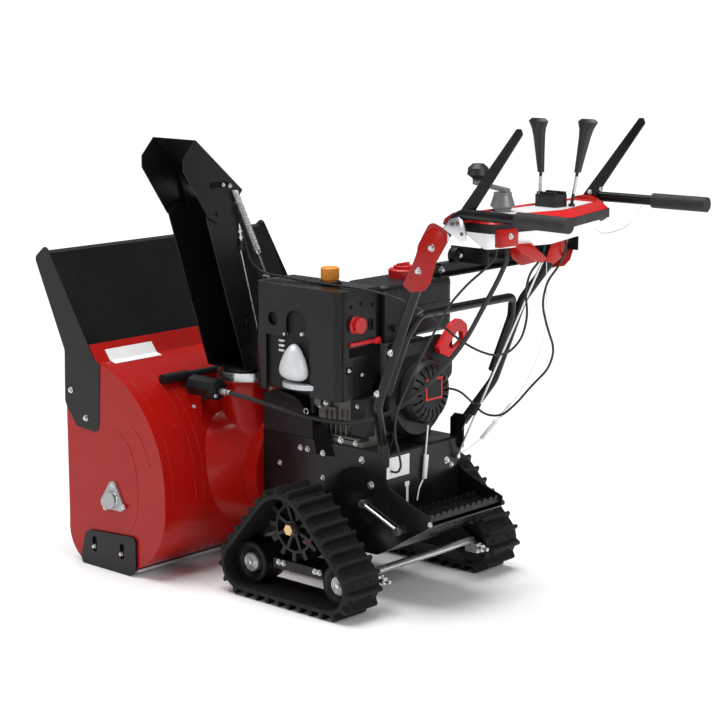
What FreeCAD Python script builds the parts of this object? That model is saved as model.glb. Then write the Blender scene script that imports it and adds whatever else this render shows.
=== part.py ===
"""Tracked two-stage snow blower, built as separate named pieces.

Frame: +X is the machine's left, -Y its front, +Z up. The ground is Z = 0 and X = 0 is the middle plane.
Every length is in millimetres.
"""
import FreeCAD, Part
import math
import os

Vector = FreeCAD.Vector

os.makedirs("parts", exist_ok=True)

# General stock and clearances
sheet = 3.0                 # pressed steel sheet
plate = 5.0                 # bracket and frame plate
running_gap = 0.05          # radial clearance of a shaft in its bearing
seat_gap = 0.3              # gap between curved faces that lie together
overlap_seat = 1.0          # how far a welded piece reaches into what carries it
bend_share = 0.45           # part of a cord's run that each of its bends takes
tube_r = 12.5               # handlebar tube
crossbar_r = 11.0
bolt_head_r = 9.0
bolt_head_h = 5.0

# Tracks: a triangular belt round two idlers and a drive sprocket above them
belt_inner_x = 219.0
belt_width = 130.0
belt_t = 10.0
lug_h = 18.0
lug_root = 16.0
lug_tip = 8.0
lug_end_chamfer = 6.0
lug_count = 30
idler_r = 55.0
idler_front_y = -141.0
idler_rear_y = 173.0
sprocket_r = 88.0           # out to the tips of its teeth
axle_y = 8.0
axle_z = 201.0
axle_r = 12.5
idler_axle_r = 8.0
idler_cap_r = 26.0
wheel_side_gap = 8.0        # belt's inner edge to the wheels
wheel_recess = 48.0         # belt's outer edge to the wheels, which sit well inside it
track_plate_t = 6.0
track_plate_gap = 4.0       # belt edge to the carrier plate inside it
tie_rod_r = 10.0
tie_rod_y = 195.0
tie_rod_z = 100.0
hub_nut_r = 15.0
link_rod_offset = 7.0       # frame side to the rod's line
link_rod_front = (124.0, 260.0)
link_rod_rear = (245.0, 209.0)
link_rod_r = 5.0
hub_nut_t = 14.0

# Auger housing and what is in it
housing_half = 418.0
housing_front_y = -743.0
auger_y = -561.0
auger_z = 200.0
upper_shell_y = -682.0      # the rolled back: a large arc above, a short upright, a small arc below
upper_shell_z = 248.0
upper_shell_r = 335.0
lower_shell_z = 200.0
lower_shell_r = 193.0
shell_end = 77.0            # degrees round the upper arc where the flange turns up
housing_top_z = 620.0
shell_lip = -78.0           # degrees round the lower arc where the shell ends at the scraper
housing_step_z = 112.0      # height where the side's front edge starts to round under
skid_t = 7.0                # bolted wear shoes
auger_shaft_r = 16.0
auger_r = 172.0
ribbon_w = 46.0
ribbon_t = 6.0
bearing_cup_r = 24.0
auger_end_gap = 14.0
auger_turns = 1.25
gearbox_half = 38.0
gearbox_r = 58.0
auger_flight_gap = 12.0     # gearbox side to the first flight

# Impeller and its drum
drum_z = 273.0
drum_r = 177.0
drum_rear_y = -245.0
flare_rear_y = -290.0       # the drum widens forward of here to meet the rolled back
flare_front_y = -400.0
flare_half_w = 335.0
impeller_gap = 9.0          # blade tip to drum wall
impeller_shaft_r = 12.0
blade_t = 5.0
blade_depth = 66.0
blade_count = 4

# Discharge neck, ring and chute
chute_x = 95.0
chute_y = -367.0
ring_lift = 33.0            # ring above the worm box's underside
ring_h = 24.0
ring_t = 10.0
collar_r = 66.0
collar_gap = 1.0
neck_r = 76.0
chute_w = 148.0             # outside width of the channel
chute_lean = 18.0           # degrees from upright
throat_h = 12.0             # collar showing between the ring and the channel
chute_open = 64.0           # ring to where the channel opens in front
chute_h = 492.0             # ring to the channel's top
hinge_out = 173.0           # hood's pin from the ring's axis
hinge_drop = 22.0           # hood's pin below the channel's top
spring_r = 7.0
spring_len = 146.0
cable_r = 3.0
drive_cable_r = 6.0
hinge_pin_r = 5.0
deflector_side_gap = 3.5
chute_box_x = 195.0         # worm box that turns the ring
chute_box_y = -440.0
chute_box_w = 55.0
chute_box_len = 74.0
chute_box_lift = 7.4        # worm box above the rolled back
chute_box_h = 36.0
cleanout_r = 14.0
cleanout_y = -475.0

# Frame
frame_half = 148.0
frame_top_z = 402.0
frame_bottom_z = 122.0
frame_rear_y = 196.0
tray_rear_y = 346.0
pedal_front_y = 262.0
pedal_z = 243.0
tooth_count = 12
tooth_h = 10.0
slot_count = 20             # cooling slots of the recoil cover

# Engine group
crankcase_left_x = 128.0
crankcase_right_x = -112.0
crankcase_front_y = -58.0
crankcase_foot_h = 14.0
cylinder_front_y = -120.0
belt_cover_top_z = 520.0
tank_bottom_z = 664.0
tank_top_z = 812.0
tank_left_x = 34.0
tank_right_x = -250.0
tank_front_y = -62.0
tank_rear_y = 92.0
fuel_cap_x = -126.0
fuel_cap_y = 15.0
fuel_cap_r = 40.0
shroud_left_x = 200.0
shroud_right_x = 46.0
shroud_front_y = -228.0
shroud_rear_y = 85.0
shroud_bottom_z = 528.0
shroud_top_z = 814.0
shroud_corner_r = 26.0
guard_depth = 50.0
muffler_gap = 12.0
blower_x = -30.0
blower_z = 520.0
blower_r = 112.0
blower_front_y = 108.0
blower_rear_y = 160.0
recoil_z = 536.0
recoil_r = 84.0
recoil_depth = 42.0

# Handlebar
handle_low = (frame_half + tube_r + seat_gap, 197.0, 437.0)
handle_kink = (233.0, 243.0, 547.0)
handle_mid = (234.0, 335.0, 775.0)
handle_upper = (262.0, 398.0, 872.0)
handle_top = (262.0, 520.0, 1057.0)
handle_end_y = 857.0
handle_splay = 20.0         # how far the rear runs spread outward
grip_len = 150.0
grip_r = 18.5
grip_cap = 3.0
panel_half = 238.0
panel_front_y = 478.0
panel_corner_y = 605.0
panel_apex_y = 662.0
band_z = 1012.0             # underside of the panel's dark band
band_h = 22.0
rim_h = 18.0
rim_in = 16.0
tray_h = 46.0               # white body under the band
bracket_t = 4.0
bracket_bolts = ((14.0, 38.0), (56.0, 100.0))
channel_y = 434.0
channel_z = 896.0
channel_h = 34.0
channel_depth = 26.0
lever_t = 5.0
lever_gap = 4.5            # panel side to the lever's inner face
stem_r = 4.0

# ---------------------------------------------------------------- helpers
def box(x0, x1, y0, y1, z0, z1):
    return Part.makeBox(x1 - x0, y1 - y0, z1 - z0, Vector(x0, y0, z0))


def rod(start, end, radius):
    """Solid cylinder between two points."""
    a = Vector(*start)
    b = Vector(*end)
    return Part.makeCylinder(radius, (b - a).Length, a, b - a)


def ring(start, end, outer, inner):
    return rod(start, end, outer).cut(rod(start, end, inner))


def join(*shapes):
    return shapes[0].fuse(list(shapes[1:])).removeSplitter()


def mirrored(shape):
    return shape.mirror(Vector(0, 0, 0), Vector(1, 0, 0))


def both_sides(shape):
    """The piece on the left and its mirror image on the right, as two solids."""
    return Part.makeCompound([shape, mirrored(shape)])


def corner_path(points, radii, closed=False):
    """Straight runs joined by tangent arcs. radii is one number, or one for each corner."""
    pts = [Vector(*p) for p in points]
    count = len(pts)
    corners = range(count) if closed else range(1, count - 1)
    if not isinstance(radii, (list, tuple)):
        radii = [radii] * count
    starts = list(pts)
    ends = list(pts)
    arcs = {}
    for i in corners:
        r = radii[i]
        if r <= 0:
            continue
        back = (pts[i - 1] - pts[i]).normalize()
        ahead = (pts[(i + 1) % count] - pts[i]).normalize()
        half = back.getAngle(ahead) / 2
        trim = r / math.tan(half)
        starts[i] = pts[i] + back * trim
        ends[i] = pts[i] + ahead * trim
        middle = (back + ahead).normalize()
        centre = pts[i] + middle * (r / math.sin(half))
        arcs[i] = Part.Arc(starts[i], centre - middle * r, ends[i]).toShape()
    edges = []
    last = count if closed else count - 1
    for i in range(count):
        if i in arcs:
            edges.append(arcs[i])
        if i < last:
            a = ends[i]
            b = starts[(i + 1) % count]
            if (b - a).Length > 1e-6:
                edges.append(Part.LineSegment(a, b).toShape())
    return Part.Wire(edges)


def slab_yz(points, x0, x1, radii=0):
    """Outline of (y, z) points, drawn along X."""
    wire = corner_path([(x0, y, z) for y, z in points], radii, closed=True)
    return Part.Face(wire).extrude(Vector(x1 - x0, 0, 0))


def slab_xz(points, y0, y1, radii=0):
    wire = corner_path([(x, y0, z) for x, z in points], radii, closed=True)
    return Part.Face(wire).extrude(Vector(0, y1 - y0, 0))


def pipe(points, radii, radius):
    """Round bar along a path of straight runs and tangent bends."""
    path = corner_path(points, radii)
    start = Vector(*points[0])
    along = Vector(*points[1]) - start
    circle = Part.Wire(Part.Circle(start, along, radius).toShape())
    return path.makePipeShell([circle], True, False)


def placed(points, across, up):
    """Outline points given from a reference point, moved to where it lies."""
    return [(across + a, up + b) for a, b in points]


def cord(name, points, radius):
    """Round cord along hand-chosen points, each bend as wide as its two runs allow."""
    pts = [Vector(*p) for p in points]
    radii = [0]
    for i in range(1, len(pts) - 1):
        back = pts[i - 1] - pts[i]
        ahead = pts[i + 1] - pts[i]
        turn = math.pi - back.getAngle(ahead)
        radii.append(bend_share * min(back.Length, ahead.Length) / math.tan(turn / 2))
    radii.append(0)
    solid = pipe(points, radii, radius)
    length = corner_path(points, radii).Length
    share = solid.Volume / (math.pi * radius ** 2 * length)
    print(name, "length", round(length), "volume share", round(share, 4), "bend radii", [round(r) for r in radii[1:-1]])
    return solid


def bolt(x, y, z, side=1):
    """Round bolt head whose seat is at x, facing outward along X."""
    return rod((x, y, z), (x + side * bolt_head_h, y, z), bolt_head_r)


def save(name, shape):
    shape.exportStep("parts/" + name + ".step")


# ---------------------------------------------------------------- tracks
idler_z = idler_r + belt_t + lug_h
belt_outer_x = belt_inner_x + belt_width
wheel_inner_x = belt_inner_x + wheel_side_gap
wheel_outer_x = belt_outer_x - wheel_recess
plate_outer_x = belt_inner_x - track_plate_gap
plate_inner_x = plate_outer_x - track_plate_t
wheel_circles = [(idler_rear_y, idler_z, idler_r), (axle_y, axle_z, sprocket_r), (idler_front_y, idler_z, idler_r)]


def loop_wire(grow, x):
    """Belt line round the three wheels, grow outside them, in the plane at x."""
    count = len(wheel_circles)
    normals = []
    for i in range(count):
        y0, z0, r0 = wheel_circles[i]
        y1, z1, r1 = wheel_circles[(i + 1) % count]
        run = math.hypot(y1 - y0, z1 - z0)
        ey, ez = (y1 - y0) / run, (z1 - z0) / run
        lean = (r0 - r1) / run
        side = math.sqrt(1 - lean * lean)
        normals.append((ey * lean + ez * side, ez * lean - ey * side))

    def on_wheel(i, normal):
        y, z, r = wheel_circles[i]
        return Vector(x, y + normal[0] * (r + grow), z + normal[1] * (r + grow))

    edges = []
    for i in range(count):
        after = (i + 1) % count
        edges.append(Part.LineSegment(on_wheel(i, normals[i]), on_wheel(after, normals[i])).toShape())
        my = normals[i][0] + normals[after][0]
        mz = normals[i][1] + normals[after][1]
        size = math.hypot(my, mz)
        middle = on_wheel(after, (my / size, mz / size))
        arc = Part.Arc(on_wheel(after, normals[i]), middle, on_wheel(after, normals[after]))
        edges.append(arc.toShape())
    return Part.Wire(edges)


def stations(wire, count):
    """Evenly spaced points round a belt line, with its direction at each."""
    pitch = wire.Length / count
    found = []
    travelled = 0.0
    target = pitch / 2
    for edge in wire.OrderedEdges:
        while target <= travelled + edge.Length and len(found) < count:
            param = edge.getParameterByLength(target - travelled)
            if edge.Orientation == "Reversed":
                param = edge.getParameterByLength(edge.Length - (target - travelled))
            found.append((edge.valueAt(param), edge.tangentAt(param)))
            target += pitch
        travelled += edge.Length
    return found


def lug(x0, x1, point, along):
    """Transverse tread bar: a frustum standing on the belt."""
    out = Vector(0, along.z, -along.y).normalize()
    middle = Vector(0, (idler_front_y + idler_rear_y) / 2, idler_z)
    if out.dot(Vector(0, point.y, point.z) - middle) < 0:
        out = out * -1
    along = Vector(0, along.y, along.z)

    def rectangle(height, half, inset):
        base = Vector(0, point.y, point.z) + out * height
        corners = []
        for x, sign in ((x0 + inset, -1), (x1 - inset, -1), (x1 - inset, 1), (x0 + inset, 1)):
            corners.append(base + along * (sign * half) + Vector(x, 0, 0))
        return Part.makePolygon(corners + corners[:1])

    low = rectangle(-overlap_seat, lug_root / 2, 0.5)
    high = rectangle(lug_h, lug_tip / 2, lug_end_chamfer)
    return Part.makeLoft([low, high], True, True)


def track():
    outer = Part.Face(loop_wire(belt_t, belt_inner_x))
    inner = Part.Face(loop_wire(0, belt_inner_x))
    belt = outer.cut(inner).extrude(Vector(belt_width, 0, 0))
    line = loop_wire(belt_t, belt_inner_x)
    lugs = [lug(belt_inner_x, belt_outer_x, p, t) for p, t in stations(line, lug_count)]
    return belt.fuse(lugs)


def idler_wheel(y):
    rim = rod((wheel_inner_x, y, idler_z), (wheel_outer_x, y, idler_z), idler_r - seat_gap)
    dish = Part.makeCone(idler_r - 12, idler_cap_r, 14, Vector(wheel_outer_x, y, idler_z), Vector(-1, 0, 0))
    bore = rod((wheel_inner_x, y, idler_z), (wheel_outer_x, y, idler_z), idler_axle_r)
    return rim.cut(dish).cut(bore)


def idler_wheels():
    return both_sides(Part.makeCompound([idler_wheel(idler_front_y), idler_wheel(idler_rear_y)]))


def idler_cap(y):
    cap = rod((wheel_outer_x - 14, y, idler_z), (wheel_outer_x + 2, y, idler_z), idler_cap_r - seat_gap)
    return cap.makeChamfer(1.5, [e for e in cap.Edges if e.BoundBox.XMin > wheel_outer_x])


def idler_caps():
    return both_sides(Part.makeCompound([idler_cap(idler_front_y), idler_cap(idler_rear_y)]))


sprocket_outer_x = wheel_outer_x - 8
sprocket_inner_x = belt_inner_x + 18
spoke_count = 8
spoke_w = 9.0
rim_r = 66.0
rim_t = 7.0
peg_count = 12
peg_w = 13.0
hub_r = 22.0
web_t = 12.0


def sprocket():
    """Drive wheel: a rim with square teeth that carry the belt, and spokes with a hub at its outer face."""
    centre = (axle_y, axle_z)
    rim = ring((sprocket_inner_x, *centre), (sprocket_outer_x, *centre), rim_r, rim_r - rim_t)
    hub = rod((sprocket_inner_x, *centre), (sprocket_outer_x + 6, *centre), hub_r)
    wheel = rim.fuse(hub)
    spoke = box(sprocket_outer_x - web_t, sprocket_outer_x, axle_y - spoke_w / 2, axle_y + spoke_w / 2,
                axle_z + hub_r - 4, axle_z + rim_r - rim_t + overlap_seat)
    tooth = box(sprocket_inner_x, sprocket_outer_x, axle_y - peg_w / 2, axle_y + peg_w / 2,
                axle_z + rim_r - overlap_seat, axle_z + sprocket_r - seat_gap)
    for i in range(spoke_count):
        arm = spoke.copy()
        arm.rotate(Vector(0, *centre), Vector(1, 0, 0), 360 / spoke_count * (i + 0.5))
        wheel = wheel.fuse(arm)
    for i in range(peg_count):
        peg = tooth.copy()
        peg.rotate(Vector(0, *centre), Vector(1, 0, 0), 360 / peg_count * i)
        wheel = wheel.fuse(peg)
    return wheel.cut(rod((sprocket_inner_x, *centre), (sprocket_outer_x + 6, *centre), axle_r))


def drive_axle():
    """Shaft between the two sprockets, with a nut on each end."""
    shaft = rod((-sprocket_outer_x - 8, axle_y, axle_z), (sprocket_outer_x + 8, axle_y, axle_z), axle_r)
    return join(shaft, hub_nut(), mirrored(hub_nut()))


def hub_nut():
    face = sprocket_outer_x + 8
    corners = []
    for i in range(6):
        turn = math.radians(60 * i)
        corners.append((axle_y + hub_nut_r * math.cos(turn), axle_z + hub_nut_r * math.sin(turn)))
    return slab_yz(corners, face, face + hub_nut_t)


def carrier_plate():
    """Plate inside the belt that joins the idler axles to the drive axle."""
    boss_r = 26.0
    line = Part.Wire(corner_path([(plate_inner_x, idler_front_y, idler_z), (plate_inner_x, idler_rear_y, idler_z),
                                  (plate_inner_x, axle_y, axle_z)], 0, closed=True))
    body = line.makeOffset2D(boss_r, 0, False, False, False)
    solid = Part.Face(body).extrude(Vector(track_plate_t, 0, 0))
    window = line.makeOffset2D(-18.0, 2, False, False, False)
    solid = solid.cut(Part.Face(window).extrude(Vector(track_plate_t, 0, 0)))
    return solid.cut(rod((plate_inner_x, axle_y, axle_z), (plate_outer_x, axle_y, axle_z), axle_r))


beam_half_w = 24.0
beam_x = (wheel_inner_x + wheel_outer_x) / 2


def track_frame():
    solid = carrier_plate()
    for y in (idler_front_y, idler_rear_y):
        solid = solid.fuse(rod((plate_inner_x, y, idler_z), (wheel_outer_x - 15, y, idler_z), idler_axle_r - 0.2))
    beam = box(plate_inner_x, beam_x + beam_half_w, idler_front_y + idler_r + 14, idler_rear_y - idler_r - 14,
               idler_z - 2, idler_z + 24)
    return solid.fuse(beam).removeSplitter()


def tie_rod():
    """Bar between the two carrier plates, with a tension screw and its block at each end."""
    bar = rod((-plate_inner_x, tie_rod_y, tie_rod_z), (plate_inner_x, tie_rod_y, tie_rod_z), tie_rod_r)
    return join(bar, tension_bolt(), mirrored(tension_bolt()))


def tension_bolt():
    x = plate_inner_x - 10
    z = idler_z + 3
    nut = rod((x, tie_rod_y + 32, z), (x, tie_rod_y + 46, z), 10)
    shank = rod((x, tie_rod_y - 10, z), (x, tie_rod_y + 62, z), 5)
    block = box(x - 10, plate_inner_x, tie_rod_y - 8, tie_rod_y + 32, z - 14, z + 12)
    return join(block, nut, shank)


# ---------------------------------------------------------------- auger housing
shell_rear_y = upper_shell_y + upper_shell_r
lower_shell_y = shell_rear_y - lower_shell_r


def on_upper_shell(grow, degrees):
    turn = math.radians(degrees)
    radius = upper_shell_r + grow
    return Vector(0, upper_shell_y + radius * math.cos(turn), upper_shell_z + radius * math.sin(turn))


def on_lower_shell(grow, degrees):
    turn = math.radians(degrees)
    radius = lower_shell_r + grow
    return Vector(0, lower_shell_y + radius * math.cos(turn), lower_shell_z + radius * math.sin(turn))


def shell_top(y):
    """Height of the rolled back's outside above y."""
    return upper_shell_z + math.sqrt(upper_shell_r ** 2 - (y - upper_shell_y) ** 2)


flange_top = (housing_front_y + 101, housing_top_z)


def housing_outline(grow):
    """Side view of the housing as a closed wire in the plane X = 0; grow moves the shell line outward."""
    lip = on_lower_shell(grow, shell_lip)
    low_end = on_lower_shell(grow, 0)
    high_start = on_upper_shell(grow, 0)
    high_end = on_upper_shell(grow, shell_end)
    top_rear = Vector(0, flange_top[0], flange_top[1] + grow)
    top_front = Vector(0, housing_front_y, housing_top_z - 18)
    step = Vector(0, housing_front_y, housing_step_z)
    knee = Vector(0, housing_front_y + 13, 45)
    toe = Vector(0, housing_front_y + 45, 12)
    edges = [
        Part.Arc(lip, on_lower_shell(grow, shell_lip / 2), low_end).toShape(),
        Part.LineSegment(low_end, high_start).toShape(),
        Part.Arc(high_start, on_upper_shell(grow, shell_end / 2), high_end).toShape(),
        Part.LineSegment(high_end, top_rear).toShape(),
        Part.LineSegment(top_rear, top_front).toShape(),
        Part.LineSegment(top_front, step).toShape(),
        Part.Arc(step, knee, toe).toShape(),
        Part.LineSegment(toe, lip).toShape(),
    ]
    return Part.Wire(edges)


def housing_block(grow, half):
    return Part.Face(housing_outline(grow)).extrude(Vector(2 * half, 0, 0)).translate(Vector(-half, 0, 0))


def auger_housing():
    """Open scoop: two side plates and a rolled back, with a round hole for the impeller drum."""
    inside = housing_half - sheet
    body = housing_block(0, housing_half)
    hollow = housing_block(-sheet, inside)
    front = box(-inside, inside, housing_front_y - 50, upper_shell_y, -10, auger_z + 300)
    above = box(-inside, inside, housing_front_y - 50, flange_top[0] - 0.5, auger_z, housing_top_z + 50)
    floor = box(-inside, inside, housing_front_y - 50, lower_shell_y + 42, -10, auger_z)
    hole = rod((0, auger_y, drum_z), (0, drum_rear_y, drum_z), drum_r - sheet)
    shell = body.cut([hollow, front, above, floor, hole])
    for side in (-1, 1):
        start = (side * (housing_half + 1), auger_y, auger_z)
        end = (side * (housing_half - 10), auger_y, auger_z)
        shell = shell.cut(rod(start, end, bearing_cup_r))
    return shell


def duct(inset, top_z):
    """Discharge duct: a tapering throat from the drum's upper left up to the chute ring."""
    radius = neck_r - inset
    head = Part.Circle(Vector(chute_x, chute_y, top_z), Vector(0, 0, 1), radius).toShape()
    neck = Part.Circle(Vector(chute_x, chute_y, ring_z - 40), Vector(0, 0, 1), radius).toShape()
    foot = Part.Circle(Vector(chute_x + 4, chute_y + 46, drum_z + 20), Vector(0, 0, 1), radius - 8).toShape()
    lower = Part.makeLoft([Part.Wire(foot), Part.Wire(neck)], True, True)
    upper = Part.makeLoft([Part.Wire(neck), Part.Wire(head)], True, True)
    return lower.fuse(upper)


def drum_solid(inset):
    """The drum and the flare in front of it, as a solid inset from the outside."""
    radius = drum_r - inset
    rear = (0, drum_rear_y - inset, drum_z)
    circle = Part.Wire(Part.Circle(Vector(0, flare_rear_y, drum_z), Vector(0, 1, 0), radius).toShape())
    oval = Part.Ellipse(Vector(0, flare_front_y, drum_z), flare_half_w - inset, radius + 4)
    oval_shape = oval.toShape()
    oval_shape.rotate(Vector(0, flare_front_y, drum_z), Vector(1, 0, 0), 90)
    flare = Part.makeLoft([Part.Wire(oval_shape), circle], True, True)
    return flare.fuse(rod((0, flare_rear_y, drum_z), rear, radius))


def impeller_housing():
    """Drum with a flared front seated on the rolled back, and the duct up to the chute ring."""
    lip = rod((chute_x, chute_y, ring_z - 8), (chute_x, chute_y, ring_z), collar_r + ring_t + 4)
    solid = drum_solid(0).fuse([duct(0, ring_z - 4), lip])
    solid = solid.cut(drum_solid(sheet)).cut(duct(sheet, ring_z + 1))
    solid = solid.cut(housing_block(0, housing_half))
    inner_y = drum_rear_y - sheet
    bore_r = impeller_shaft_r + running_gap
    bearing = rod((0, inner_y - 14, drum_z), (0, inner_y, drum_z), 34)
    solid = solid.fuse(bearing).cut(rod((0, inner_y - 20, drum_z), (0, drum_rear_y + 5, drum_z), bore_r))
    return max(solid.Solids, key=lambda piece: piece.Volume)


extension_half = housing_half + 2.0
panel_low = (flange_top[0] - sheet, housing_top_z - 22)
panel_high = (housing_front_y - 54, housing_top_z + 237)
panel_lip = (housing_front_y - 75, housing_top_z + 242)


def intake_extension():
    """Raised scoop above the housing: two side plates and a leaning back panel with a folded lip."""
    outline = [(-119, 220), (-69, 260), (127, -44), (146, -44), (134, -241), (42, -234), (-5, -172), (-1, -27)]
    radii = [16, 16, 10, 10, 20, 20, 25, 20]
    side = slab_yz(placed(outline, housing_front_y, housing_top_z), housing_half, extension_half, radii)
    run_y = panel_high[0] - panel_low[0]
    run_z = panel_high[1] - panel_low[1]
    size = math.hypot(run_y, run_z)
    off_y = run_z / size * sheet
    off_z = -run_y / size * sheet
    section = [panel_low, panel_high, panel_lip, (panel_lip[0], panel_lip[1] - sheet),
               (panel_high[0] - off_y, panel_high[1] - off_z), (panel_low[0] - off_y, panel_low[1] - off_z)]
    panel = slab_yz(section, -housing_half, housing_half)
    wall = housing_block(seat_gap, housing_half).cut(housing_block(seat_gap, housing_half - sheet - seat_gap))
    return join(side, mirrored(side), panel.cut(wall))


def skid_shoe():
    """Wear shoe on the side plate, turned up at both ends, with two slots that set its height."""
    outline = [(-123, 0), (75, 0), (99, 20), (99, 105), (85, 112), (-89, 100), (-108, 90), (-129, 20)]
    shoe = slab_yz(placed(outline, auger_y, 0), housing_half, housing_half + skid_t, [8, 8, 4, 8, 4, 4, 8, 8])
    slots = [slab_yz(placed([(-9, 0), (9, 0), (9, 44), (-9, 44)], auger_y + y, 42), housing_half, housing_half + skid_t, 8.9)
             for y in (-70, 44)]
    return shoe.cut(slots)


def scraper_bar():
    reach = math.radians(shell_lip + 4)
    y = lower_shell_y + (lower_shell_r + seat_gap) * math.cos(reach)
    z = lower_shell_z + (lower_shell_r + seat_gap) * math.sin(reach)
    along = (-math.sin(reach), math.cos(reach))
    out = (math.cos(reach), math.sin(reach))
    corners = []
    for run, depth in ((-16, 0), (34, 0), (34, 7), (-12, 7), (-16, 3)):
        corners.append((y + along[0] * run + out[0] * depth, z + along[1] * run + out[1] * depth))
    return slab_yz(corners, -housing_half + sheet, housing_half - sheet)


def auger_bearing():
    lobes = Part.Wire(corner_path([(housing_half, auger_y + 8, auger_z + 66), (housing_half, auger_y - 54, auger_z - 24),
                                   (housing_half, auger_y + 62, auger_z - 26)], 14, closed=True))
    flange = Part.Face(lobes).extrude(Vector(6, 0, 0))
    hub = rod((housing_half - 8, auger_y, auger_z), (housing_half + 14, auger_y, auger_z), bearing_cup_r)
    cup = rod((housing_half - 8, auger_y, auger_z), (housing_half + 6, auger_y, auger_z), auger_shaft_r + running_gap)
    return flange.fuse(hub).cut(cup)


def auger_gearbox():
    lower = rod((-gearbox_half, auger_y, auger_z), (gearbox_half, auger_y, auger_z), gearbox_r)
    upper = rod((0, auger_y - 52, drum_z), (0, auger_y + 90, drum_z), 34)
    bridge = box(-26, 26, auger_y - 40, auger_y + 40, auger_z, drum_z)
    body = join(lower, upper, bridge)
    body = body.cut(rod((-gearbox_half, auger_y, auger_z), (gearbox_half, auger_y, auger_z), auger_shaft_r + running_gap))
    return body.cut(rod((0, auger_y - 30, drum_z), (0, auger_y + 90, drum_z), impeller_shaft_r + running_gap))


def auger_shaft():
    end = housing_half + 2
    return rod((-end, auger_y, auger_z), (end, auger_y, auger_z), auger_shaft_r)


def flight(start_deg):
    """One helical ribbon of the left flight, wound round the shaft line."""
    x0 = gearbox_half + auger_flight_gap
    x1 = housing_half - sheet - auger_end_gap
    pitch = (x1 - x0) / auger_turns
    helix = Part.makeHelix(pitch, x1 - x0, auger_r - ribbon_w / 2)
    section = Part.makePolygon([Vector(auger_r - ribbon_w, 0, 0), Vector(auger_r, 0, 0), Vector(auger_r, 0, ribbon_t),
                                Vector(auger_r - ribbon_w, 0, ribbon_t), Vector(auger_r - ribbon_w, 0, 0)])
    solid = Part.Wire(helix).makePipeShell([section], True, True)
    solid.rotate(Vector(0, 0, 0), Vector(0, 0, 1), start_deg)
    solid.rotate(Vector(0, 0, 0), Vector(0, 1, 0), 90)
    solid.translate(Vector(x0, auger_y, auger_z))
    return solid


def flight_arms(start_deg):
    """Flat bars that carry the ribbons on the shaft."""
    arms = []
    x0 = gearbox_half + auger_flight_gap
    x1 = housing_half - sheet - auger_end_gap
    for share in (0.12, 0.5, 0.88):
        x = x0 + (x1 - x0) * share
        turn = start_deg + 360 * auger_turns * share
        arm = box(x - 4, x + 10, auger_y - 14, auger_y + 14, auger_z + auger_shaft_r - 3, auger_z + auger_r - ribbon_w + 12)
        arm.rotate(Vector(0, auger_y, auger_z), Vector(1, 0, 0), -turn + 90)
        arms.append(arm)
    return arms


def auger_flighting():
    pieces = []
    for start in (0, 180):
        pieces.append(flight(start))
    return pieces


def impeller():
    """Four blades on a hub, on the shaft that runs back into the belt case."""
    front = drum_rear_y - sheet - 22 - blade_depth
    rear = front + blade_depth
    hub = rod((0, front, drum_z), (0, rear, drum_z), 30)
    tip = drum_r - sheet - impeller_gap
    wheel = hub
    for i in range(blade_count):
        blade = box(-blade_t / 2, blade_t / 2, front, rear, drum_z + 24, drum_z + tip)
        blade.rotate(Vector(0, 0, drum_z), Vector(0, 1, 0), 360 / blade_count * i + 20)
        wheel = wheel.fuse(blade)
    shaft = rod((0, auger_y - 28, drum_z), (0, drum_rear_y - 1, drum_z), impeller_shaft_r)
    return wheel.fuse(shaft).removeSplitter()


# ---------------------------------------------------------------- chute
lean = math.tan(math.radians(chute_lean))
chute_box_z = shell_top(chute_box_y) + chute_box_lift
ring_z = chute_box_z + ring_lift
chute_open_z = ring_z + chute_open
chute_top_z = ring_z + chute_h
hinge_x = chute_x + hinge_out
hinge_z = chute_top_z - hinge_drop
collar_base_z = ring_z + seat_gap
collar_top_z = ring_z + ring_h + throat_h
wall_near_y = chute_y + chute_w / 2
wall_far_y = chute_y - chute_w / 2


def back_x(z):
    """Where the chute's back wall stands at height z."""
    return chute_x - collar_r - 3 + (z - collar_top_z) * lean


cable_stand = 6.0            # cable's middle from the chute's near wall
cable_clip_z = hinge_z - 80


def chute_ring():
    """Toothed ring gear round the collar, on the neck's lip."""
    low = (chute_x, chute_y, ring_z)
    high = (chute_x, chute_y, ring_z + ring_h)
    return ring(low, high, collar_r + collar_gap + ring_t, collar_r + collar_gap)


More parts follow.
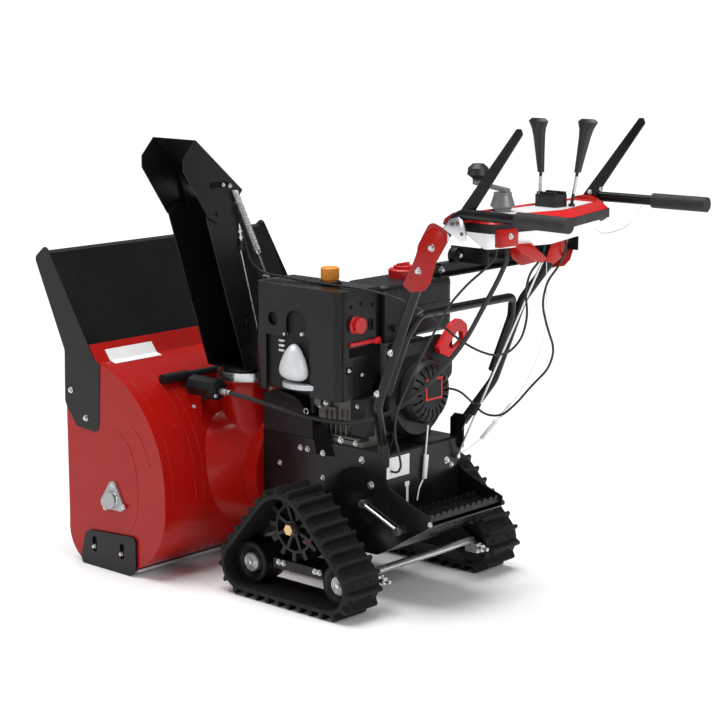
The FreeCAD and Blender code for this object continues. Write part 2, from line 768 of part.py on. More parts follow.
def chute():
    """Round collar that turns in the ring, and a channel with a closed back and two side walls."""
    y0 = wall_far_y
    y1 = wall_near_y
    throat_x = chute_x + collar_r + 3
    back = [(back_x(collar_top_z), collar_top_z), (back_x(chute_top_z), chute_top_z)]
    front = [(hinge_x + 30, chute_top_z), (hinge_x + 34, chute_top_z - 30), (throat_x + 10, chute_open_z),
             (throat_x, collar_top_z)]
    channel = slab_xz(back + front, y0, y1, [0, 0, 18, 22, 60, 0])
    inner_back = [(x + sheet / math.cos(math.radians(chute_lean)), z) for x, z in back]
    inner_back[1] = (inner_back[1][0] + 40 * lean, chute_top_z + 40)
    beyond = [(hinge_x + 90, chute_top_z + 40), (throat_x + 60, chute_open_z), (throat_x - sheet, collar_top_z + 6),
              (throat_x - sheet, collar_top_z)]
    walls = channel.cut(slab_xz(inner_back + beyond, y0 + sheet, y1 - sheet))
    floor = box(chute_x - collar_r - 3, throat_x, y0, y1, collar_top_z, collar_top_z + sheet)
    collar = rod((chute_x, chute_y, collar_base_z), (chute_x, chute_y, collar_top_z + 1), collar_r)
    body = join(walls, collar, floor)
    bore = rod((chute_x, chute_y, ring_z - 1), (chute_x, chute_y, collar_top_z + 6), collar_r - sheet)
    body = body.cut(bore)
    clamp = box(back_x(cable_clip_z) + 18, back_x(cable_clip_z) + 38, y1 - overlap_seat, y1 + cable_stand - cable_r - seat_gap,
                cable_clip_z - 12, cable_clip_z + 8)
    body = body.fuse(clamp)
    for y, side in ((y0, -1), (y1, 1)):
        inner = y - side * overlap_seat
        pin = rod((hinge_x, inner, hinge_z), (hinge_x, y + side * (deflector_side_gap + sheet + 4), hinge_z), hinge_pin_r)
        washer = rod((hinge_x, inner, hinge_z), (hinge_x, y + side * (deflector_side_gap - 0.5), hinge_z), 11)
        body = body.fuse([pin, washer])
    return body.removeSplitter()


def deflector():
    """Hood on the top of the chute: a sloping back and two side walls with rounded lower corners."""
    half = chute_w / 2 + deflector_side_gap
    outline = [(-92, 58), (76, 200), (119, 153), (119, 122), (32, -6), (-6, -28), (-32, -6)]
    radii = [4, 3, 8, 8, 20, 18, 18]
    outer = slab_xz(placed(outline, hinge_x, hinge_z), chute_y - half - sheet, chute_y + half + sheet, radii)
    inside = [(-150, -2), (-90, 55.6), (136, 248), (202, 160), (162, -90), (-68, -90)]
    hollow = slab_xz(placed(inside, hinge_x, hinge_z), chute_y - half, chute_y + half)
    hood = outer.cut(hollow)
    eye = rod((hinge_x, chute_y - half - sheet - 1, hinge_z), (hinge_x, chute_y + half + sheet + 1, hinge_z),
              hinge_pin_r + running_gap)
    return hood.cut(eye)


def deflector_spring():
    """Coil that pulls the hood, as a plain rod along the chute's back."""
    y = wall_near_y - 2.7 * spring_r
    stand = (spring_r + seat_gap) / math.cos(math.atan(lean))
    low_z = hinge_z - 106
    high_z = low_z + spring_len
    low = (back_x(low_z) - stand, y, low_z)
    high = (back_x(high_z) - stand, y, high_z)
    return rod(low, high, spring_r)


box_mid_x = chute_box_x + chute_box_w / 2
box_mid_z = chute_box_z + chute_box_h / 2
box_rear_y = chute_box_y + chute_box_len


def chute_gearbox():
    """Chamfered worm box beside the ring, with an end cover and the drive shaft's coupling."""
    x0 = chute_box_x
    x1 = chute_box_x + chute_box_w
    z0 = chute_box_z
    z1 = chute_box_z + chute_box_h
    cham = 12
    section = [(x0, z0 + cham), (x0 + cham, z0), (x1 - cham, z0), (x1, z0 + cham), (x1, z1 - cham), (x1 - cham, z1),
               (x0 + cham, z1), (x0, z1 - cham)]
    body = slab_xz(section, chute_box_y, box_rear_y)
    cover = rod((box_mid_x, box_rear_y, box_mid_z), (box_mid_x, box_rear_y + 8, box_mid_z), chute_box_h / 2 + 4)
    coupling = rod((box_mid_x, box_rear_y, box_mid_z), (box_mid_x, box_rear_y + 32, box_mid_z), 9)
    return join(body, cover, coupling)


def gearbox_bracket():
    """Folded foot from the rolled back up to the chute's gearbox."""
    x0 = chute_box_x + 8
    x1 = chute_box_x + chute_box_w - 8
    top = box(x0, x1, chute_box_y - 6, chute_box_y + 50, chute_box_z - 3, chute_box_z)
    web = box(x1 - 3, x1, chute_box_y - 6, chute_box_y + 50, chute_box_z - 90, chute_box_z)
    foot = web.fuse(box(x0, x1, chute_box_y - 6, chute_box_y - 3, chute_box_z - 90, chute_box_z))
    return join(top, foot).cut(housing_block(seat_gap, housing_half))


def cleanout_tool():
    """Paddle for clearing the chute, clipped across the housing's top."""
    reach = upper_shell_r + cleanout_r + seat_gap
    z = upper_shell_z + math.sqrt(reach ** 2 - (cleanout_y - upper_shell_y) ** 2)
    grip_part = rod((212, cleanout_y, z), (304, cleanout_y, z), cleanout_r)
    shaft = rod((92, cleanout_y, z), (214, cleanout_y, z), cleanout_r - 4)
    blade = box(40, 94, cleanout_y - 3, cleanout_y + 3, z - 9, z + 26)
    return join(grip_part, shaft, blade)


# ---------------------------------------------------------------- cables
def chute_drive_shaft():
    """Flexible shaft from under the crank, down past the engine's left side, to the chute's gearbox."""
    points = [(108, 548, 966), (108, 548, 932), (112, 524, 880), (122, 490, 815), (134, 446, 730), (150, 378, 642),
              (164, 290, 558), (172, 205, 504), (174, 110, 474), (175, -10, 466), (180, -130, 474), (198, -230, 492),
              (222.5, -290, 505), (222.5, -334, 505)]
    return cord("chute_drive_shaft", points, drive_cable_r)


def deflector_cable():
    """Cable of the hood, from beside the chute over the shroud and up in a loop to the panel."""
    points = [(131, -177, 822), (131, -110, 817.6), (132, 0, 817.6), (131, 104, 818.5), (122, 196, 809), (109, 270, 786),
              (94, 325, 752), (74, 370, 714), (46, 408, 686), (10, 434, 670), (-24, 456, 676), (-44, 480, 712),
              (-50, 493, 770), (-50, 484, 832), (-49, 498, 880), (-47, 530, 914), (-46, 545, 943), (-46, 545, 966)]
    return cord("deflector_cable", points, cable_r)


def deflector_cable_end():
    """The stretch that turns with the chute, down the near wall from its clip."""
    y = wall_near_y + cable_stand
    points = [(189, y, 963), (164, y, 897), (150, y + 4, 850), (140, y + 34, 828), (134, y + 72, 822), (131.3, -183.5, 822)]
    return cord("deflector_cable_end", points, cable_r)


def wiring_harness():
    """Leads from the panel, in a free loop behind the engine, to the fan housing."""
    points = [(-110, 562, 966), (-110, 562, 936), (-114, 538, 893), (-120, 498, 850), (-122, 482, 790), (-120, 502, 732),
              (-120, 526, 680), (-120, 508, 628), (-119, 455, 576), (-120, 408, 524), (-118, 362, 484), (-112, 309, 480),
              (-114, 262, 510), (-126, 212, 530), (-126, 160, 530)]
    return cord("wiring_harness", points, cable_r)


def clutch_cable():
    """Cable of the left lever, down beside its tube to the frame's rear face."""
    points = [(150, 548, 966), (150, 548, 944), (162, 524, 914), (184, 492, 880), (202, 452, 830), (207, 406, 755),
              (202, 352, 672), (194, 306, 600), (184, 262, 524), (164, 240, 462), (144, 238, 410), (131, 234, 374),
              (128, 220, 354), (128, frame_rear_y, 354)]
    return cord("clutch_cable", points, cable_r)


def clutch_rod():
    """Straight rod of the right lever, from under the channel down to a pin on the frame's rear face."""
    pin = rod((-130, frame_rear_y, 350), (-130, frame_rear_y + 14, 350), 6)
    bar = rod((-170, channel_y + 13, channel_z - 1.4), (-131, frame_rear_y + 9, 352), cable_r)
    return join(pin, bar)


# ---------------------------------------------------------------- frame and engine
def tractor_frame():
    """Folded chassis box, closed below, with a tray behind it between two sloping flanges."""
    inner = frame_half - plate
    outline = [(drum_rear_y, frame_bottom_z), (drum_rear_y, frame_top_z), (frame_rear_y, frame_top_z),
               (frame_rear_y, pedal_z + 77), (tray_rear_y - 66, pedal_z + 41), (tray_rear_y, pedal_z + 19),
               (tray_rear_y, pedal_z - 7), (frame_rear_y - 26, frame_bottom_z + 8)]
    body = slab_yz(outline, -frame_half, frame_half, [0, 0, 6, 30, 30, 6, 12, 40])
    cavity = slab_yz([(drum_rear_y + plate, frame_bottom_z + plate), (drum_rear_y + plate, frame_top_z - plate),
                      (frame_rear_y - plate, frame_top_z - plate), (frame_rear_y - plate, frame_bottom_z + 38),
                      (frame_rear_y - 31, frame_bottom_z + 13)], -inner, inner)
    over = frame_top_z + 80
    tray = slab_yz([(frame_rear_y, over), (frame_rear_y, pedal_z - 40), (tray_rear_y + 20, pedal_z), (tray_rear_y + 20, over)],
                   -inner, inner)
    body = body.cut([cavity, tray])
    y, z = handle_low[1], handle_low[2]
    ear = slab_yz([(y - 29, frame_top_z - 10), (y - 29, z + 11), (y - 15, z + 25), (y + 19, z + 25), (y + 25, z + 11),
                   (frame_rear_y, frame_top_z - 10)], inner, frame_half)
    body = join(body, ear, mirrored(ear))
    bore = rod((-frame_half - 1, axle_y, axle_z), (frame_half + 1, axle_y, axle_z), axle_r + running_gap)
    return body.cut(bore)


def foot_pedal():
    """Serrated step plate across the tray's rear, between its two flanges."""
    pedal_half = frame_half - plate
    base = box(-pedal_half, pedal_half, pedal_front_y, tray_rear_y - 8, pedal_z + 2, pedal_z + 6)
    pitch = 2 * pedal_half / tooth_count
    crest = [(-pedal_half, pedal_z + 2)]
    for i in range(tooth_count):
        x = -pedal_half + pitch * i
        crest += [(x, pedal_z + 12), (x + pitch * 0.3, pedal_z + 12 + tooth_h), (x + pitch * 0.7, pedal_z + 12 + tooth_h)]
    crest += [(pedal_half, pedal_z + 12), (pedal_half, pedal_z + 2)]
    rims = [slab_xz(crest, y, y + 3) for y in (pedal_front_y, tray_rear_y - 11)]
    return join(base, *rims)


def belt_cover():
    """Moulded cover over the belts, between the drum and the engine."""
    rear = crankcase_front_y - 6
    top = belt_cover_top_z
    outline = [(drum_rear_y, frame_top_z), (drum_rear_y, top - 20), (drum_rear_y + 45, top), (rear - 56, top - 15),
               (rear, top - 66), (rear, frame_top_z)]
    return slab_yz(outline, -120, frame_half - 2, [0, 10, 30, 50, 36, 0])


def engine_block():
    """Crankcase on its mounting flange and the cylinder block above it, as one plain block."""
    foot_z = frame_top_z + crankcase_foot_h
    feet = box(crankcase_right_x - 23, crankcase_left_x + 12, crankcase_front_y, blower_front_y, frame_top_z, foot_z)
    case = slab_xz([(crankcase_right_x, foot_z), (crankcase_left_x - 16, foot_z), (crankcase_left_x, foot_z + 46),
                    (crankcase_left_x, shroud_bottom_z), (crankcase_right_x, shroud_bottom_z)], crankcase_front_y,
                   blower_front_y, [0, 0, 16, 10, 10])
    head = box(crankcase_right_x + 8, shroud_right_x - 4, cylinder_front_y, blower_front_y - 6, shroud_bottom_z,
               tank_bottom_z)
    return join(feet, case, head)


def arch_window():
    """Cut-out in the shroud's left wall: a low bay with an arch above its rear half."""
    x0 = shroud_left_x - 10
    y, z = shroud_front_y, shroud_bottom_z
    bay = slab_yz(placed([(48, -5), (48, 150), (206, 150), (206, -5)], y, z), x0, x0 + 20)
    arch = slab_yz(placed([(122, 112), (122, 223), (194, 223), (194, 112)], y, z), x0, x0 + 20, [0, 30, 30, 0])
    port = rod((x0, y + 74, z + 194), (x0 + 20, y + 74, z + 194), 18)
    return bay.fuse([arch, port])


def muffler_shroud():
    """Sheet box over the silencer, open below and to the right, with a window for the outlet."""
    outer = box(shroud_right_x, shroud_left_x, shroud_front_y, shroud_rear_y, shroud_bottom_z, shroud_top_z)
    corners = [e for e in outer.Edges if abs(e.tangentAt(0).z) > 0.9 and e.BoundBox.XMin > shroud_left_x - 1]
    outer = outer.makeFillet(shroud_corner_r, corners)
    inner = box(shroud_right_x - 30, shroud_left_x - sheet, shroud_front_y + sheet, shroud_rear_y - sheet,
                shroud_bottom_z - 10, shroud_top_z - sheet)
    corners = [e for e in inner.Edges if abs(e.tangentAt(0).z) > 0.9 and e.BoundBox.XMin > shroud_left_x - 10]
    inner = inner.makeFillet(shroud_corner_r - sheet, corners)
    return outer.cut([inner, arch_window()])


def muffler():
    """Silencer inside the shroud, clear of its walls."""
    drum = box(shroud_right_x, shroud_left_x - muffler_gap, shroud_front_y + muffler_gap, shroud_rear_y - muffler_gap,
               shroud_bottom_z, shroud_top_z - muffler_gap)
    return drum.makeFillet(20, [e for e in drum.Edges if abs(e.tangentAt(0).y) > 0.9])


def exhaust_guard():
    """Faceted deflector over the silencer's outlet, standing out of the shroud's window."""
    base = placed([(94, 72), (110, 118), (150, 140), (190, 134), (198, 92), (196, 52), (168, 32), (116, 38)],
                  shroud_front_y, shroud_bottom_z)
    face = placed([(116, 78), (124, 106), (150, 118), (176, 114), (182, 90), (178, 66), (162, 52), (128, 56)],
                  shroud_front_y, shroud_bottom_z)
    root_x = shroud_left_x - muffler_gap
    low = Part.makePolygon([Vector(root_x, y, z) for y, z in base + base[:1]])
    mid = Part.makePolygon([Vector(root_x + 0.56 * guard_depth, y, z) for y, z in base + base[:1]])
    top = Part.makePolygon([Vector(root_x + guard_depth, y, z) for y, z in face + face[:1]])
    return Part.makeLoft([low, mid, top], True, True)


def fuel_tank():
    tank = box(tank_right_x, tank_left_x, tank_front_y, tank_rear_y, tank_bottom_z, tank_top_z)
    upright = [e for e in tank.Edges if abs(e.tangentAt(0).z) > 0.9]
    tank = tank.makeFillet(30, upright)
    rims = [e for e in tank.Edges if e.BoundBox.ZMax - e.BoundBox.ZMin < 1]
    return tank.makeFillet(16, rims)


def fuel_cap():
    base = (fuel_cap_x, fuel_cap_y, tank_top_z)
    cap = rod(base, (fuel_cap_x, fuel_cap_y, tank_top_z + 24), fuel_cap_r)
    return cap.makeChamfer(4, [e for e in cap.Edges if e.BoundBox.ZMin > tank_top_z + 20])


def oil_cap():
    x = shroud_left_x - 100
    y = shroud_front_y + 186
    z = shroud_top_z
    cap = rod((x, y, z + 12), (x, y, z + 44), 24)
    cap = cap.makeChamfer(3, [e for e in cap.Edges if e.BoundBox.ZMin > z + 40])
    return join(rod((x, y, z), (x, y, z + 14), 19), cap)


def engine_controls():
    """Control panel of the engine beside the tank, with the choke and fuel knobs standing out."""
    front = tank_rear_y + 9
    face = box(tank_left_x - 58, shroud_right_x - 1, tank_rear_y, front, tank_bottom_z, tank_top_z - 12)
    face = face.makeFillet(8, [e for e in face.Edges if abs(e.tangentAt(0).y) > 0.9])
    x = tank_left_x - 24
    z = tank_bottom_z + 36
    return join(face, rod((x, front, z), (x, front + 13, z), 9))


def stop_knob():
    """Red push knob on the shroud's rear face, over the key slot."""
    seat = Vector(shroud_left_x - 61, shroud_rear_y, shroud_top_z - 90)
    collar = Part.makeCone(24, 20, 5, seat, Vector(0, 1, 0))
    knob = Part.makeCone(15, 21, 14, seat + Vector(0, 5, 0), Vector(0, 1, 0))
    return join(collar, knob)


def blower_housing():
    """Fan scroll on the crankshaft, joined above to the cylinder shroud under the tank."""
    scroll = rod((blower_x, blower_front_y, blower_z), (blower_x, blower_rear_y, blower_z), blower_r)
    scroll = scroll.makeChamfer(12, [e for e in scroll.Edges if e.BoundBox.YMin > blower_rear_y - 1])
    left = blower_x + 70
    right = blower_x - 146
    hood = slab_xz([(right, blower_z + 40), (right + 46, blower_z), (left, blower_z), (left, tank_bottom_z),
                    (right, tank_bottom_z)], blower_front_y, blower_rear_y - 14, [20, 20, 10, 16, 16])
    return join(scroll, hood)


def recoil_cover():
    """Ribbed dome of the recoil starter: radial slots round a plain boss."""
    y0 = blower_rear_y
    profile = [(0, 0), (recoil_r, 0), (recoil_r, recoil_depth * 0.5), (recoil_r - 7, recoil_depth * 0.8),
               (recoil_r - 22, recoil_depth), (0, recoil_depth)]
    half = Part.makePolygon([Vector(blower_x + r, y0 + d, recoil_z) for r, d in profile + profile[:1]])
    dome = Part.Face(half).revolve(Vector(blower_x, y0, recoil_z), Vector(0, 1, 0), 360)
    slots = []
    for i in range(slot_count):
        slot = box(blower_x - 2.5, blower_x + 2.5, y0 + recoil_depth * 0.6, y0 + recoil_depth + 1, recoil_z + recoil_r / 2,
                   recoil_z + recoil_r - 9)
        slot.rotate(Vector(blower_x, 0, recoil_z), Vector(0, 1, 0), 360 / slot_count * i)
        slots.append(slot)
    return dome.cut(slots)


def starter_grip():
    """D-shaped pull handle hanging from its rope guide on the blower housing."""
    outline = placed([(-73, 120), (-126, 177), (-160, 189), (-188, 170), (-192, 135), (-169, 109), (-119, 89), (-76, 106)],
                     blower_x, blower_z)
    hole = placed([(-112, 123), (-150, 158), (-170, 152), (-173, 132), (-156, 120), (-120, 110)], blower_x, blower_z)
    y0 = blower_rear_y - 14
    body = slab_xz(outline, y0, y0 + 16, [6, 20, 14, 16, 16, 16, 12, 6])
    return body.cut(slab_xz(hole, y0, y0 + 16, [5, 10, 8, 8, 8, 8]))


# ---------------------------------------------------------------- handlebar
handle_bend = Vector(*handle_top)
handle_tip = Vector(handle_top[0] + handle_splay, handle_end_y, handle_top[2])


def handlebar():
    """Bent tube from the frame's ear up to the grip, with a flattened lug at its foot."""
    end = handle_tip - (handle_tip - handle_bend).normalize() * grip_cap
    points = [handle_low, handle_kink, handle_mid, handle_upper, handle_top, tuple(end)]
    tube = pipe(points, [0, 60, 90, 90, 60, 0], tube_r)
    y, z = handle_low[1], handle_low[2]
    lug_plate = slab_yz([(y - 12, z - 70), (y + 12, z - 70), (y + 12, z + 8), (y - 12, z + 8)], frame_half, frame_half + plate,
                        [10, 10, 0, 0])
    return join(tube, lug_plate)


def crossbar():
    """Brace between the two tubes: its legs lie along their inner sides, and its top bends forward of them."""
    low = Vector(*handle_kink)
    high = Vector(*handle_mid)
    inward = Vector(tube_r + crossbar_r + seat_gap, 0, 0)
    foot = low + (high - low) * 0.14 - inward
    knee = low + (high - low) * 0.80 - inward
    shoulder = Vector(knee.x - 26, knee.y + 24, knee.z + 58)
    left = [foot, knee, shoulder]
    right = [Vector(-p.x, p.y, p.z) for p in reversed(left)]
    return pipe([tuple(p) for p in left + right], [0, 60, 28, 28, 60, 0], crossbar_r)


def grip():
    along = (handle_tip - handle_bend).normalize()
    start = handle_tip - along * grip_len
    body = rod(tuple(start), tuple(handle_tip), grip_r)
    return body.cut(rod(tuple(start - along), tuple(handle_tip - along * grip_cap), tube_r + running_gap))


def handle_bracket():
    """Curved red plate bolted to the outside of the tube where it turns back."""
    x, y, z = handle_upper
    x += tube_r + seat_gap
    outline = [(-35, 0), (-6, -16), (18, -8), (48, 25), (70, 66), (114, 132), (92, 148), (52, 162), (24, 118), (8, 77),
               (-10, 39)]
    wing = slab_yz(placed(outline, y, z), x, x + bracket_t, [6, 10, 20, 60, 60, 10, 10, 20, 40, 90, 90])
    heads = [bolt(x + bracket_t, *at) for at in placed(bracket_bolts, y, z)]
    pivot = [(111, 165), (147, 179), (162, 139), (144, 121), (128, 131)]
    tab_x = x + bracket_t + seat_gap
    tab = slab_yz(placed(pivot, y, z), x + seat_gap, tab_x, [6, 8, 8, 8, 4])
    return Part.makeCompound([join(wing, *heads), tab])


def cross_channel():
    """Folded channel between the two tubes under the panel."""
    half = handle_upper[0] - tube_r - seat_gap
    front_y = channel_y
    section = [(front_y, channel_z), (channel_y + channel_depth, channel_z), (channel_y + channel_depth, channel_z + 4),
               (front_y + 4, channel_z + 4), (front_y + 4, channel_z + channel_h - 4),
               (front_y + channel_depth, channel_z + channel_h - 4), (front_y + channel_depth, channel_z + channel_h),
               (front_y, channel_z + channel_h)]
    rail = slab_yz(section, -half, half)
    posts = []
    for x in (-182, -66, 62, 178):
        posts.append(box(x, x + 4, channel_y, panel_front_y + 70, channel_z + channel_h - 2, band_z - tray_h))
    return join(rail, *posts)


def panel_bracket():
    """Folded arm on the panel's side, spaced from the tube and turned down behind it."""
    outline = placed([(70, 44), (100, 44), (108, 20), (150, -18), (140, -32), (84, -12), (70, 14)], panel_front_y, band_z)
    arm = slab_yz(outline, panel_half, panel_half + bracket_t, [6, 8, 10, 6, 6, 10, 8])
    spot = handle_bend + (handle_tip - handle_bend) * 0.13
    spacer_end = spot.x - tube_r - seat_gap
    spacer = rod((panel_half, panel_front_y + 86, band_z + 34), (spacer_end, panel_front_y + 86, band_z + 34), 6)
    return join(arm, spacer)


def panel_outline(inset):
    half = panel_half - inset
    return [(-half, panel_front_y + inset), (half, panel_front_y + inset), (half, panel_corner_y - inset),
            (0, panel_apex_y - inset * 1.2), (-half, panel_corner_y - inset)]


def panel_wire(inset, z):
    return corner_path([(x, y, z) for x, y in panel_outline(inset)], [14, 14, 16, 60, 16], closed=True)


def control_panel():
    """White moulded body under the band, and the white top set into the rim."""
    base = Part.makeLoft([panel_wire(52, band_z - tray_h), panel_wire(14, band_z)], True, True)
    top = Part.Face(panel_wire(rim_in + 8 + seat_gap, band_z + band_h)).extrude(Vector(0, 0, rim_h - 4))
    return Part.makeCompound([base, top])


def panel_band():
    face = Part.Face(panel_wire(0, band_z))
    return face.extrude(Vector(0, 0, band_h))


def panel_rim():
    """Red bevelled frame round the white top."""
    z = band_z + band_h
    outer = Part.makeLoft([panel_wire(2, z), panel_wire(rim_in, z + rim_h)], True, True)
    inner = Part.makeLoft([panel_wire(rim_in + 8, z), panel_wire(rim_in + 8, z + rim_h)], True, True)
    return outer.cut(inner)


top_face_z = band_z + band_h + rim_h - 4
gate_h = 30.0


def shift_gate():
    """Slotted guide block that the front shift lever passes through."""
    return box(-88, -42, panel_front_y + 38, panel_front_y + 100, top_face_z, top_face_z + gate_h)


def clutch_lever():
    """Flat bail lever pivoted beside the panel."""
    outline = placed([(20, 28), (28, 4), (48, 4), (56, 20), (217, 236), (212, 249), (201, 249)], panel_front_y, band_z)
    x = panel_half + lever_gap
    bar = slab_yz(outline, x, x + lever_t, [10, 8, 8, 12, 6, 5, 5])
    boss = rod((panel_half, panel_front_y + 36, band_z + 14), (x + 1, panel_front_y + 36, band_z + 14), 7)
    return join(bar, boss)


def knob_section(x, y, z, along_x, along_y):
    ellipse = Part.Ellipse(Vector(x, y, z), max(along_x, along_y), min(along_x, along_y)).toShape()
    if along_y > along_x:
        ellipse.rotate(Vector(x, y, z), Vector(0, 0, 1), 90)
    return Part.Wire(ellipse)


def shift_lever(x, foot, neck, head, foot_z):
    """Thin rod with a moulded handle that widens to a hammer head; foot, neck and head lie behind the panel's front."""
    foot_y = panel_front_y + foot
    neck_y = panel_front_y + neck
    head_y = panel_front_y + head
    neck_z = top_face_z + 84
    head_z = neck_z + 124
    boot = rod((x, foot_y, foot_z), (x, foot_y, foot_z + 6), 2 * stem_r)
    stem = rod((x, foot_y, foot_z + 4), (x, neck_y, neck_z + 4), stem_r)
    sections = []
    for share, across, along in ((0.0, 8, 8.5), (0.35, 10, 12), (0.72, 13, 16), (0.86, 13, 20), (1.0, 12, 29)):
        sections.append(knob_section(x, neck_y + (head_y - neck_y) * share, neck_z + 124 * share, across, along))
    handle = Part.makeLoft(sections, True, True)
    crown = Part.makeLoft([sections[-1], knob_section(x, head_y, head_z + 7, 7, 20)], True, True)
    return join(boot, stem, handle, crown)


def shift_levers():
    front = shift_lever(-50, 46, 48, 38, top_face_z + gate_h)
    rear = shift_lever(-100, 106, 122, 150, top_face_z)
    return Part.makeCompound([join(shift_gate(), front), rear])


def chute_crank():
    """Crank on the panel: a stepped pedestal, a short arm and a mushroom knob."""
    x = 100
    y = panel_front_y + 48
    z = top_face_z
    profile = [(0, z), (20, z), (21, z + 6), (30, z + 14), (22, z + 40), (22, z + 46), (0, z + 46)]
    wire = Part.makePolygon([Vector(x + r, y, h) for r, h in profile + profile[:1]])
    base = Part.Face(wire).revolve(Vector(x, y, 0), Vector(0, 0, 1), 360)
    arm = slab_yz([(y + 18, z + 46), (y - 86, z + 60), (y - 86, z + 68), (y + 14, z + 56)], x - 9, x + 9)
    cap = [(0, z + 62), (12, z + 62), (14, z + 74), (27, z + 84), (25, z + 100), (14, z + 110), (0, z + 111)]
    outline = Part.makePolygon([Vector(x + r, y - 76, h) for r, h in cap + cap[:1]])
    knob = Part.Face(outline).revolve(Vector(x, y - 76, 0), Vector(0, 0, 1), 360)
    return join(base, arm, knob)


def link_rod():
    x = frame_half + link_rod_offset
    front = (x, *link_rod_front)
    rear = (x, *link_rod_rear)
    bar = rod(front, rear, link_rod_r)
    eye_end = x + link_rod_r + 2
    eyes = [rod((start, y, z), (eye_end, y, z), 11) for start, (_, y, z) in ((frame_half, front), (x - 6, rear))]
    return bar.fuse(eyes).removeSplitter()


def main():
    save("track_left", track())
    save("track_right", mirrored(track()))
    save("idler_wheels", idler_wheels())
    save("idler_caps", idler_caps())
    save("drive_sprockets", both_sides(sprocket()))
    save("drive_axle", drive_axle())
    save("track_frames", both_sides(track_frame()))
    save("tie_rod", tie_rod())
    save("auger_housing", auger_housing())
    save("impeller_housing", impeller_housing())
    save("intake_extension", intake_extension())
    save("skid_shoes", both_sides(skid_shoe()))
    save("scraper_bar", scraper_bar())
    save("auger_bearings", both_sides(auger_bearing()))
    save("auger_gearbox", auger_gearbox())
    flights = auger_flighting()
    left = flights[0].fuse(flights[1:] + flight_arms(0) + flight_arms(180))
    shaft = auger_shaft()
    save("auger", shaft.fuse([left, mirrored(left)]))
    save("impeller", impeller())
    save("chute_ring", chute_ring())
    save("chute", chute())
    save("chute_deflector", deflector())
    save("deflector_spring", deflector_spring())
    save("chute_gearbox", chute_gearbox())
    save("gearbox_bracket", gearbox_bracket())
    save("tractor_frame", tractor_frame())
    save("belt_cover", belt_cover())
    save("cleanout_tool", cleanout_tool())
    save("engine_block", engine_block())
    save("muffler_shroud", muffler_shroud())
    save("muffler", muffler())
    save("exhaust_guard", exhaust_guard())
    save("engine_controls", engine_controls())
    save("stop_knob", stop_knob())
    save("fuel_tank", fuel_tank())
    save("fuel_cap", fuel_cap())
    save("oil_cap", oil_cap())
    save("blower_housing", blower_housing())
    save("recoil_cover", recoil_cover())
    save("starter_grip", starter_grip())
    save("handlebar_left", handlebar())
    save("handlebar_right", mirrored(handlebar()))
    save("handlebar_crossbar", crossbar())
    save("grips", both_sides(grip()))
    save("handle_brackets", both_sides(handle_bracket()))
    save("cross_channel", cross_channel())
    save("control_panel", control_panel())
    save("panel_brackets", both_sides(panel_bracket()))
    save("panel_band", panel_band())
    save("panel_rim", panel_rim())
    save("clutch_levers", both_sides(clutch_lever()))
    save("shift_levers", shift_levers())
    save("chute_crank", chute_crank())
    save("link_rods", both_sides(link_rod()))
    save("foot_pedal", foot_pedal())
    save("chute_drive_shaft", chute_drive_shaft())
    save("deflector_cable", deflector_cable())
    save("deflector_cable_end", deflector_cable_end())
    save("wiring_harness", wiring_harness())
    save("clutch_cable", clutch_cable())
    save("clutch_rod", clutch_rod())


main()
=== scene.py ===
# Tracked snow blower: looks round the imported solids. Metres; +X the machine's left, -Y its front.
import math

import bpy
from mathutils import Matrix, Vector


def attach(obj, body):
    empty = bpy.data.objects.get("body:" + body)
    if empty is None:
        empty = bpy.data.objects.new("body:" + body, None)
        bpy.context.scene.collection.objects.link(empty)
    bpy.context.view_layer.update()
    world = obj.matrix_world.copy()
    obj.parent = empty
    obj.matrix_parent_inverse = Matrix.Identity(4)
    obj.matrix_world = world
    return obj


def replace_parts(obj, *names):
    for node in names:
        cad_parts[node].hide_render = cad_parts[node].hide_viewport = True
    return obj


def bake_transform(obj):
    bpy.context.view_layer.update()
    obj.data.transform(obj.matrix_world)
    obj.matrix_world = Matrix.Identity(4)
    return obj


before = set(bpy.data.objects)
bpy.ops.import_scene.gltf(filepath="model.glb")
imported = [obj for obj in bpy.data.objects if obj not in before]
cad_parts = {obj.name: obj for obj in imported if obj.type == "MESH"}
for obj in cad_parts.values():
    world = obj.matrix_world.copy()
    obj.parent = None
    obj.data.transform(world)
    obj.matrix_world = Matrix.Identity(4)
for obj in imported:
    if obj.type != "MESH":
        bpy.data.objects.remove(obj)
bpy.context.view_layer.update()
print("frame loaded with", len(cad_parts), "nodes")

# camera
camera = dict(lens=98.985, sensor=36.0, place=(3.837, 3.457, 1.6), turn=(79.06, 0.0, 132.24), reach=60.0)


def inRadians(turn):
    return [math.radians(angle) for angle in turn]


def addCamera(values):
    bpy.ops.object.camera_add(location=values["place"], rotation=inRadians(values["turn"]))
    cam = bpy.context.object
    cam.name = "camera"
    cam.data.lens = values["lens"]
    cam.data.sensor_width = values["sensor"]
    cam.data.clip_end = values["reach"]
    bpy.context.scene.camera = cam


addCamera(camera)
print("camera placed")

# studio
studio = dict(
    floor=dict(size=30, drop=0.0005, colour=(0.93, 0.925, 0.92, 1), rough=0.55, specular=0.25),
    sky=dict(colour=(0.96, 0.98, 1, 1), strength=0.26, shown=(1, 1, 1, 1)),
    sun=dict(place=(0, 0, 4), turn=(8, 3, 0), spread=50, power=3.3), lampTarget=(0, 0, 0.5),
    leftLight=dict(place=(3.2, -0.6, 1.8), size=0.8, power=9),
    rearLight=dict(place=(0.4, 3.6, 2.2), size=1.2, power=58))


def addLight(name, kind, values):
    bpy.ops.object.light_add(type=kind, location=values["place"], rotation=inRadians(values.get("turn", (0, 0, 0))))
    lamp = bpy.context.object
    lamp.name = name
    lamp.data.energy = values["power"]
    return lamp


def addSun(values):
    addLight("paperSun", "SUN", values).data.angle = math.radians(values["spread"])


